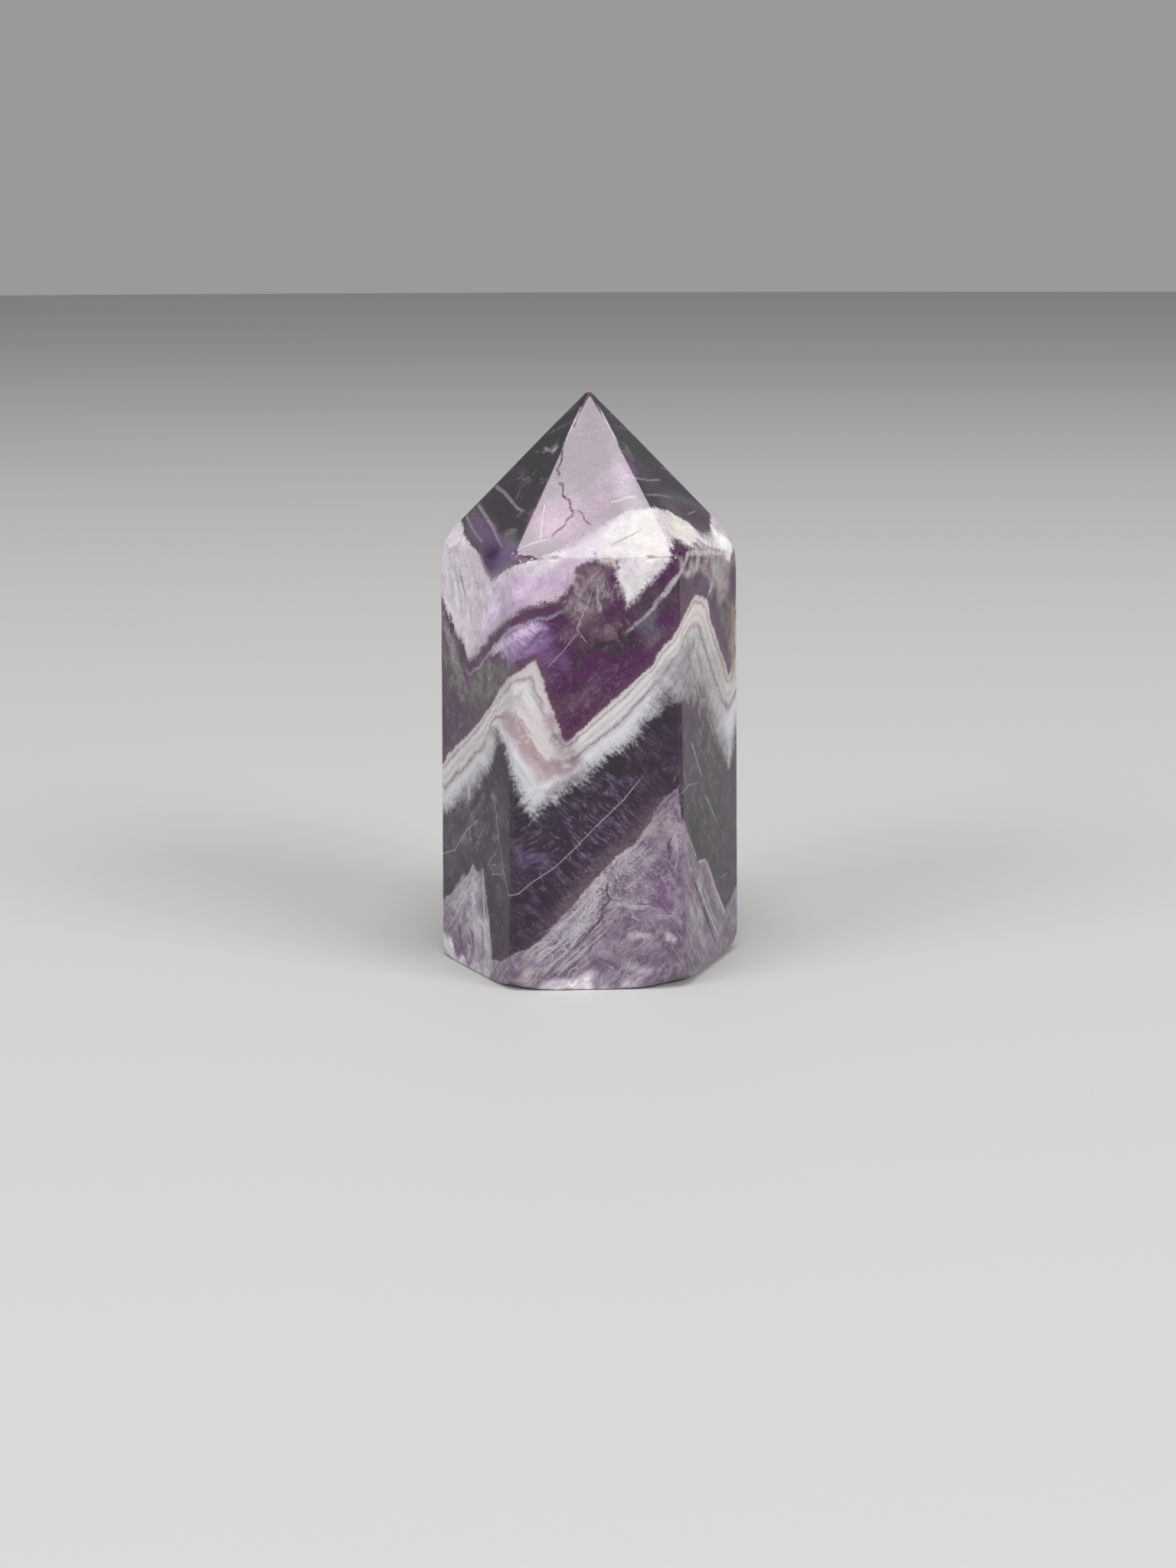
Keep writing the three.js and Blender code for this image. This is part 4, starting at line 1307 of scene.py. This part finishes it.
# In the functions below, g is the graph of the material and f its fields. ease and crest turn a noise, or a
# distance in mm from an outline, into how much of a coat there is.
def mottled_colour(g, f):
    """The lilac foot of the stone: clouded and creased like crumpled glass, and striped in places. The dark
    lines beside its pale veins and creases are painted shade.
    """
    pale = g.blend(0.14, g.tinted(f.milky, FOOT_PALE_TINT), FOOT_SHEEN)
    deep = g.tinted(f.milky, FOOT_DEEP_TINT)
    some = g.ease(f.cloud, 0.4, 0.54)
    vein = g.most(g.crest(f.crumple, 0.49, 0.02), g.crest(f.folds, 0.5, 0.016))
    rim_place = g.add(f.mottled_top, g.swing(f.crumple, 3.0))
    creased = g.ease(g.add(f.cloud, g.swing(f.strands, 0.8)), 0.42, 0.54)
    crumpled = g.times(g.ease(rim_place, -4.5, -1.0, 0.25, 1.0), f.rim)
    return g.coated(
        f.milky,
        (g.ease(f.lumps, 0.46, 0.62, 0, 0.7), pale),
        (g.ease(f.lumps, 0.48, 0.34, 0, 0.5), deep),
        (g.ease(f.crumple, 0.48, 0.36, 0, 0.45), deep),
        (g.ease(f.crumple, 0.54, 0.66, 0, 0.35), pale),
        # Painted shade beside the pale veins.
        (g.times(g.crest(f.crumple, 0.46, 0.02), some, 0.55), SHADE_BESIDE_VEINS),
        (g.times(vein, some, g.ease(f.rim, 0.0, 0.8, 0.1, 0.75)), VEINS),
        (g.times(f.striped, g.ease(f.strands, 0.49, 0.42), 0.65), DARK_STRIPES),
        (g.times(f.striped, g.ease(f.strands, 0.52, 0.59), 0.65), LIGHT_STRIPES),
        (g.times(g.ease(rim_place, -2.6, -0.8), creased, f.rim, 0.7), FOOT_RIM),
        # Painted shade beside the pale creases.
        (g.times(g.crest(f.creases, 0.43, 0.04), crumpled, 0.6), SHADE_BESIDE_CREASES),
        (g.times(g.crest(f.creases, 0.52, 0.04), crumpled, 0.7), LIGHT_CREASES),
    )


def dark_colour(g, f):
    """The nearly black layer, with clumps of flame-like fibres across it and a brown rim at its foot."""
    clumps = g.blend(g.ease(f.cloud, 0.38, 0.58), g.tinted(f.clear, BETWEEN_CLUMPS_TINT), f.clear)
    tufts = g.add(g.times(f.fibres, 0.75), g.times(f.fine, 0.25), g.swing(f.cloud, 0.5))
    sparkling = g.add(tufts, g.swing(f.grit, 0.5))
    under_white = g.times(g.ease(f.white_foot, -3.2, -0.6), g.ease(f.fibres, 0.56, 0.44))
    rim_place = g.add(f.mottled_top, g.swing(f.fibres, 1.6), g.swing(f.cloud, 2.0))
    rim = g.times(g.ease(rim_place, 1.8, 0.0), g.ease(f.fine, 0.34, 0.52, 0.3, 0.85))
    return g.coated(
        clumps,
        (g.times(g.ease(tufts, 0.46, 0.6), f.flames, 0.8), FLAME_FIBRES),
        (g.times(under_white, f.flames, 0.85), BLACK_UNDER_WHITE),
        (g.times(g.ease(sparkling, 0.56, 0.68), f.flames, 0.45), SPARKS),
        (g.times(rim, g.ease(f.flames, 0.2, 0.8)), BROWN_RIM),
    )


def white_colour(g, f):
    """The white zigzag layer: finely lined along its length, with one wide tan stripe on its steep limb."""
    wander = g.add(g.swing(f.strands, 0.10), g.swing(f.fine, 0.05))
    across = g.add(f.across_white, wander, g.swing(f.cloud, 0.05))
    lined = g.blend(f.tan, g.ramp(across, GENTLE_LIMB), g.ramp(across, STEEP_LIMB))
    return g.coated(
        g.tinted(lined, f.milky),
        (g.ease(f.strands, 0.48, 0.36, 0, 0.25), WHITE_SHADOWS),
        (g.ease(f.crumple, 0.5, 0.66, 0, 0.4), WHITE_CLOUDS),
        (g.ease(f.grit, 0.5, 0.36, 0, 0.16), WHITE_DUST),
    )


def violet_colour(g, f):
    """The deep violet zone above the white layer, with the mauve fringe at its top."""
    clouded = g.coated(
        f.clear,
        (g.ease(f.cloud, 0.52, 0.36, 0, 0.42), VIOLET_DEPTHS),
        (g.ease(f.crumple, 0.52, 0.68, 0, 0.45), g.blend(0.6, f.clear, VIOLET_CLOUDS)),
    )
    fibrous = g.ease(g.add(f.fibres, g.times(f.fine, 0.5)), 0.76, 0.64, 0, 0.8)
    on_white = g.ease(g.add(f.white_top, g.swing(f.cloud, 1.2)), 1.2, 0.0)
    rise = g.add(f.lavender_foot, g.swing(f.fine, 0.5), g.swing(f.cloud, 0.6))
    return g.coated(
        clouded,
        (fibrous, g.tinted(clouded, VIOLET_FIBRE_TINT)),
        (g.times(g.ease(f.fine, 0.56, 0.68), g.ease(f.white_top, 5.0, 0.8), 0.45), FLECKS),
        (g.times(on_white, 0.45), GLOW_ON_WHITE),
        (g.times(g.crest(rise, -FRINGE_DROP, 0.7, 0.25), f.fringe, 0.85), MAUVE_FRINGE),
        (g.times(g.crest(rise, -LIGHT_DROP, 0.26, 0.08), f.fringe, 0.75), FRINGE_LIGHT),
    )


def lavender_colour(g, f):
    """The pale layer round the shoulder: lavender at the left of the front, and white at its right."""
    lighter = g.tinted(f.milky, SHOULDER_LIGHT_TINT)
    deeper = g.tinted(f.milky, SHOULDER_DEEP_TINT)
    creases = g.most(g.crest(f.folds, 0.46, 0.014), g.crest(f.crumple, 0.46, 0.018))
    at_foot = g.ease(g.add(f.lavender_foot, g.swing(f.cloud, 3.0)), 2.6, 0.0)
    return g.coated(
        f.milky,
        (g.ease(f.cloud, 0.5, 0.34, 0, 0.5), deeper),
        (g.ease(f.folds, 0.48, 0.62, 0, 0.7), lighter),
        (g.ease(f.crumple, 0.52, 0.68, 0, 0.5), lighter),
        (g.ease(f.strands, 0.45, 0.34, 0, 0.25), deeper),
        (g.ease(f.fine, 0.46, 0.3, 0, 0.15), deeper),
        (g.times(creases, 0.4), deeper),
        (g.times(at_foot, f.fringe, 0.6), SHOULDER_FOOT),
    )


def with_marks(g, f, colour):
    """The clear zones with their broken veils, dark blotches and streaky haze, and how hazy they are."""
    ragged = g.add(g.swing(f.cloud, 2.4), g.swing(f.fine, 1.4))
    veil = g.times(g.ease(g.add(f.veil, ragged), 0.4, 1.0, 0, 0.75), g.ease(f.veil, 0.0, 0.15))
    shade = g.times(g.ease(g.less(f.shade, ragged), 0.5, 0.9, 0, 0.8), g.ease(f.shade, 0.0, 0.15))
    hair = g.crest(g.stretched(f.flat, HAIR_ANGLE, *HAIRS), 0.5, 0.035)
    hair = g.times(hair, g.ease(f.veil, 0.1, 0.5), g.ease(f.cloud, 0.4, 0.55), 0.8)
    streaks = g.add(g.swing(f.strands, 1.5), g.swing(f.cloud, 1.3))
    hazy = g.times(g.ease(g.add(f.haze, streaks), 0.2, 1.0), g.ease(f.haze, 0.0, 0.1), 0.85)
    marks = ((shade, BLOTCHES), (veil, BROKEN_VEILS), (hair, PALE_HAIRS), (hazy, STREAKY_HAZE))
    return g.coated(colour, *marks), hazy


def line_mask(g, f, name):
    """Where a stored set of lines runs, from 0 to 1."""
    distance, presence, width = g.parts(g.field(name))[:3]
    off = g.math("ABSOLUTE", g.add(distance, g.swing(f.fine, LINE_WANDER)))
    line = g.ease(off, g.add(g.times(width, 0.5), LINE_BLUR), g.times(width, 0.2))
    return g.times(line, presence, g.ease(f.grit, 0.36, 0.5, 0.35, 1.0))


def layered_colour(g, f):
    """The colour of the layers and the point, how milky they are, and how hazy the clear zones are."""
    crisp = g.add(g.swing(f.fine, 0.6), g.swing(f.grit, 0.3))
    fuzz = g.add(g.swing(f.fibres, 1.6), g.swing(f.cloud, 1.2), g.times(crisp, 2.6))
    drifting = g.add(g.times(crisp, 2.0), g.swing(f.cloud, g.times(f.faded, FADED_DRIFT)))
    fading = g.times(crisp, g.add(1.0, f.faded))
    foot_low = g.less(-WHITE_BLUR_DOWN, g.times(f.faded, FADED_BLUR_DOWN))
    foot_high = g.add(WHITE_BLUR_UP, g.times(f.faded, FADED_BLUR_UP))
    in_dark = g.ease(g.add(f.mottled_top, crisp), -DARK_BLUR, DARK_BLUR)
    in_white = g.ease(g.add(f.white_foot, fuzz), foot_low, foot_high)
    in_violet = g.ease(g.add(f.white_top, crisp), -VIOLET_BLUR, VIOLET_BLUR)
    in_lavender = g.ease(g.add(f.lavender_foot, drifting), -SHOULDER_BLUR, g.add(SHOULDER_BLUR, f.faded))
    point_low, point_high = g.less(-POINT_BLUR, f.faded), g.add(POINT_BLUR, f.faded)
    in_point = g.ease(g.add(f.lavender_top, fading), point_low, point_high)

    clear = g.blend(in_violet, dark_colour(g, f), violet_colour(g, f))
    clear, hazy = with_marks(g, f, g.blend(in_point, clear, f.clear))
    milky = g.blend(in_white, mottled_colour(g, f), white_colour(g, f))
    milky = g.blend(in_lavender, milky, lavender_colour(g, f))
    milk = g.add(g.less(g.less(1.0, in_dark), g.times(in_violet, g.less(1.0, in_lavender))), in_white)
    milk = g.math("MINIMUM", g.most(g.less(milk, in_point), 0.0), 1.0)
    return g.blend(milk, clear, milky), milk, hazy


def with_fractures(g, f, colour):
    """The colour with the sashes, lines and the painted highlight on worn edges over it, and how strong each
    is.
    """
    broken = g.add(g.swing(f.fine, 0.9), g.swing(f.grit, 0.5))
    sash = g.times(g.ease(g.add(f.sash, g.times(broken, 0.8)), 0.15, 0.95), g.ease(f.sash, 0.0, 0.3), 0.95)
    fibrous = g.ease(g.add(f.fibres, f.cloud), 0.9, 1.06)
    sash_colour = g.blend(fibrous, g.tinted(f.sash_colour, SASH_DEEP_TINT), f.sash_colour)
    pale, dark = line_mask(g, f, "pale_line"), line_mask(g, f, "dark_line")
    # Worn edges: rougher, and painted with a white highlight.
    wear = g.times(g.ease(g.add(f.wear, g.times(broken, 0.5)), 0.35, 0.7), g.ease(f.wear, 0.0, 0.2))
    colour = g.coated(
        colour,
        (sash, sash_colour),
        (pale, HEALED_FRACTURES),
        (dark, OPEN_FRACTURES),
        (g.times(wear, 0.85), EDGE_HIGHLIGHT_WHITE),
    )
    return colour, sash, pale, dark, wear


def stone_material():
    """Polished quartz, milky in its layers and see-through between them."""
    material = bpy.data.materials.new("polished_amethyst")
    g = Graph(material)
    f = Fields(g)
    colour, milk, hazy = layered_colour(g, f)
    colour, sash, pale, dark, wear = with_fractures(g, f, colour)
    solid = g.most(milk, hazy, sash, pale, dark, wear)
    polish = g.add(CLEAR_ROUGHNESS, g.times(milk, MILKY_ROUGHNESS), g.times(f.broad, UNEVEN_ROUGHNESS))
    shader = g.node("BsdfPrincipled", {
        "Base Color": colour,
        "Roughness": g.mix(dark, g.mix(wear, polish, WORN_ROUGHNESS), FRACTURE_ROUGHNESS),
        "Transmission Weight": g.times(g.less(1.0, solid), f.glassy),
        "IOR": QUARTZ_IOR,
    })
    inside = g.node("VolumeAbsorption", {"Color": ABSORPTION_COLOUR, "Density": ABSORPTION_DENSITY})
    g.node("OutputMaterial", {"Surface": shader.outputs[0], "Volume": inside.outputs[0]})
    return material


def sheet_material(kind):
    """A wispy, partly see-through look for the thin sheets that are sealed in the point."""
    colour, low, high, density = SHEET_LOOKS[kind]
    material = bpy.data.materials.new("sealed_" + kind)
    g = Graph(material)
    place = g.scaled(g.node("TexCoord").outputs["Object"], 1 / MM)
    wisps = g.add(g.noise(place, *WISPS), g.swing(g.noise(place, *WISP_GRAIN), WISP_GRAIN_SIZE))
    fade = g.parts(g.field("sheet"))["Z"]
    dense = g.ease(g.add(wisps, g.times(g.less(fade, 1.0), WISP_RIM)), low, high)
    shader = g.node("BsdfPrincipled", {
        "Base Color": colour,
        "Roughness": DULL_ROUGHNESS,
        "Specular IOR Level": 0.0,
        "Alpha": g.times(dense, fade, density),
    })
    g.node("OutputMaterial", {"Surface": shader.outputs[0]})
    return material


def sheet_shape(stone, sheet):
    """Points of one side of a thin sheet, which way it faces, and each point's place on it from -1 to 1."""
    around, height, depth, long, tall, tilt, turn = sheet
    spot, face = stone.spot(around, height)
    outward = Vector(stone.facets[face][:3])
    right = Vector((0, 0, 1)).cross(outward).normalized()
    uphill = outward.cross(right)
    tilt, turn = math.radians(tilt), math.radians(turn)
    along = right * math.cos(tilt) + uphill * math.sin(tilt)
    flat_across = uphill * math.cos(tilt) - right * math.sin(tilt)
    across = flat_across * math.cos(turn) - outward * math.sin(turn)
    facing = np.array(along.cross(across))
    columns, rows = np.meshgrid(np.linspace(-1, 1, SHEET_COLUMNS), np.linspace(-1, 1, SHEET_ROWS))
    columns, rows = columns.ravel(), rows.ravel()
    middle = np.array(spot - outward * depth)
    points = middle + np.outer(columns * long, along) + np.outer(rows * tall, across)
    points += np.outer(waves(points, SHEET_WAVE_LENGTH, SHEET_SEED) * SHEET_WAVINESS, facing)
    return drawn_in(stone, points), facing, columns, rows


def drawn_in(stone, points):
    """The points, moved towards the point's heart where they come too near to the stone's surface."""
    for _ in range(SHEET_DRAWS):
        poking = np.maximum(stone.outside(points) + SHEET_CLEARANCE, 0)
        away = (points - (0, 0, HEIGHT - HEART_DEPTH)) * (1, 1, HEART_FLATNESS)
        points = points - away / np.linalg.norm(away, axis=1)[:, None] * poking[:, None]
    return points


def add_object(name, data):
    """A new object in the scene, with its mesh, lamp or lens."""
    thing = bpy.data.objects.new(name, data)
    bpy.context.scene.collection.objects.link(thing)
    return thing


def make_sheets(stone, kind):
    """All the sealed sheets of one kind, as closed thin bodies in one mesh."""
    points, faces, fields = [], [], []
    for sheet_kind, *sheet in SHEETS:
        if sheet_kind != kind:
            continue
        front, facing, columns, rows = sheet_shape(stone, sheet)
        start = len(points)
        fade = smooth_step(np.hypot(columns, rows), 1.0, SHEET_CORE)
        for side in (front, front - facing * SHEET_THICKNESS):
            points += side.tolist()
            fields += np.column_stack([columns, rows, fade]).tolist()
        faces += closed_sheet_faces(start)
    mesh = bpy.data.meshes.new("sealed_" + kind)
    mesh.from_pydata((np.array(points) * MM).tolist(), [], faces)
    mesh.shade_smooth()
    add_field(mesh, "sheet", fields)
    mesh.materials.append(sheet_material(kind))
    visible = add_object("sealed_" + kind, mesh)
    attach(visible, "root")


def closed_sheet_faces(start):
    """Faces of a thin body: a grid in front, the same grid behind it, and a strip round the rim."""
    count = SHEET_COLUMNS * SHEET_ROWS
    front = start + np.arange(count).reshape(SHEET_ROWS, SHEET_COLUMNS)
    back = front + count
    corners = (front[:-1, :-1], front[:-1, 1:], front[1:, 1:], front[1:, :-1])
    faces = np.stack([corner.ravel() for corner in corners], axis=1).tolist()
    faces += (np.array(faces)[:, ::-1] + count).tolist()
    rim = np.concatenate([front[0, :-1], front[:-1, -1], front[-1, :0:-1], front[:0:-1, 0]])
    rim_back = np.concatenate([back[0, :-1], back[:-1, -1], back[-1, :0:-1], back[:0:-1, 0]])
    return faces + ring_faces(rim_back, rim)


def make_stone(stone):
    """The visible stone, in place of the plain CAD solid."""
    mesh, points, around, heights = build_mesh(stone)
    store_fields(stone, mesh, Vertices(points, around, heights))
    mesh.materials.append(stone_material())
    visible = add_object("polished_stone", mesh)
    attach(visible, "root")
    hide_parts(NODE)


def make_floor():
    """The wide pale disc that the stone stands on."""
    mesh = bpy.data.meshes.new("floor")
    turns = np.linspace(0, 2 * math.pi, FLOOR_SIDES, endpoint=False)
    rim = [(FLOOR_RADIUS * math.cos(turn), FLOOR_RADIUS * math.sin(turn), 0) for turn in turns]
    mesh.from_pydata(rim, [], [list(range(len(rim)))])
    material = bpy.data.materials.new("pale_floor")
    g = Graph(material)
    shader = g.node("BsdfPrincipled", {"Base Color": FLOOR_COLOUR, "Roughness": DULL_ROUGHNESS})
    g.node("OutputMaterial", {"Surface": shader.outputs[0]})
    mesh.materials.append(material)
    floor = add_object("floor", mesh)


def make_light(name, place, size, radiance):
    """A soft box, turned towards the tip of the stone."""
    lamp = bpy.data.lights.new(name, "AREA")
    lamp.shape = "RECTANGLE"
    lamp.size, lamp.size_y = size
    lamp.energy = radiance * math.pi * size[0] * size[1]
    light = add_object(name, lamp)
    light.location = place
    aim = Vector((0, 0, HEIGHT * MM)) - Vector(place)
    light.rotation_euler = aim.to_track_quat("-Z", "Y").to_euler()


def make_room():
    """The even pale light from all round."""
    world = bpy.data.worlds.new("pale_room")
    world.use_nodes = True
    background = world.node_tree.nodes["Background"]
    background.inputs["Color"].default_value = (*ROOM_COLOUR, 1)
    background.inputs["Strength"].default_value = ROOM_STRENGTH
    bpy.context.scene.world = world


def make_camera():
    """The camera of the photograph."""
    ahead = Vector((
        math.sin(CAMERA_TURN) * math.cos(CAMERA_PITCH),
        math.cos(CAMERA_TURN) * math.cos(CAMERA_PITCH),
        -math.sin(CAMERA_PITCH),
    ))
    level = Vector((math.cos(CAMERA_TURN), -math.sin(CAMERA_TURN), 0))
    upright = level.cross(ahead)
    right = level * math.cos(CAMERA_ROLL) + upright * math.sin(CAMERA_ROLL)
    up = upright * math.cos(CAMERA_ROLL) - level * math.sin(CAMERA_ROLL)
    lens = bpy.data.cameras.new("camera")
    lens.sensor_width = SENSOR
    lens.lens = FOCAL_SHARE * SENSOR
    lens.clip_start, lens.clip_end = CLIP_START, CLIP_END
    camera = add_object("camera", lens)
    turn = Matrix((right, up, -ahead)).transposed()
    camera.matrix_world = Matrix.Translation(Vector(CAMERA_PLACE) * MM) @ turn.to_4x4()
    bpy.context.scene.camera = camera


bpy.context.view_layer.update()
tower = Stone()
make_stone(tower)
for sheet_kind in SHEET_LOOKS:
    make_sheets(tower, sheet_kind)
make_floor()
for light_name, (place, size, radiance) in LIGHTS.items():
    make_light(light_name, place, size, radiance)
make_room()
make_camera()
bpy.context.scene.view_settings.view_transform = "Standard"
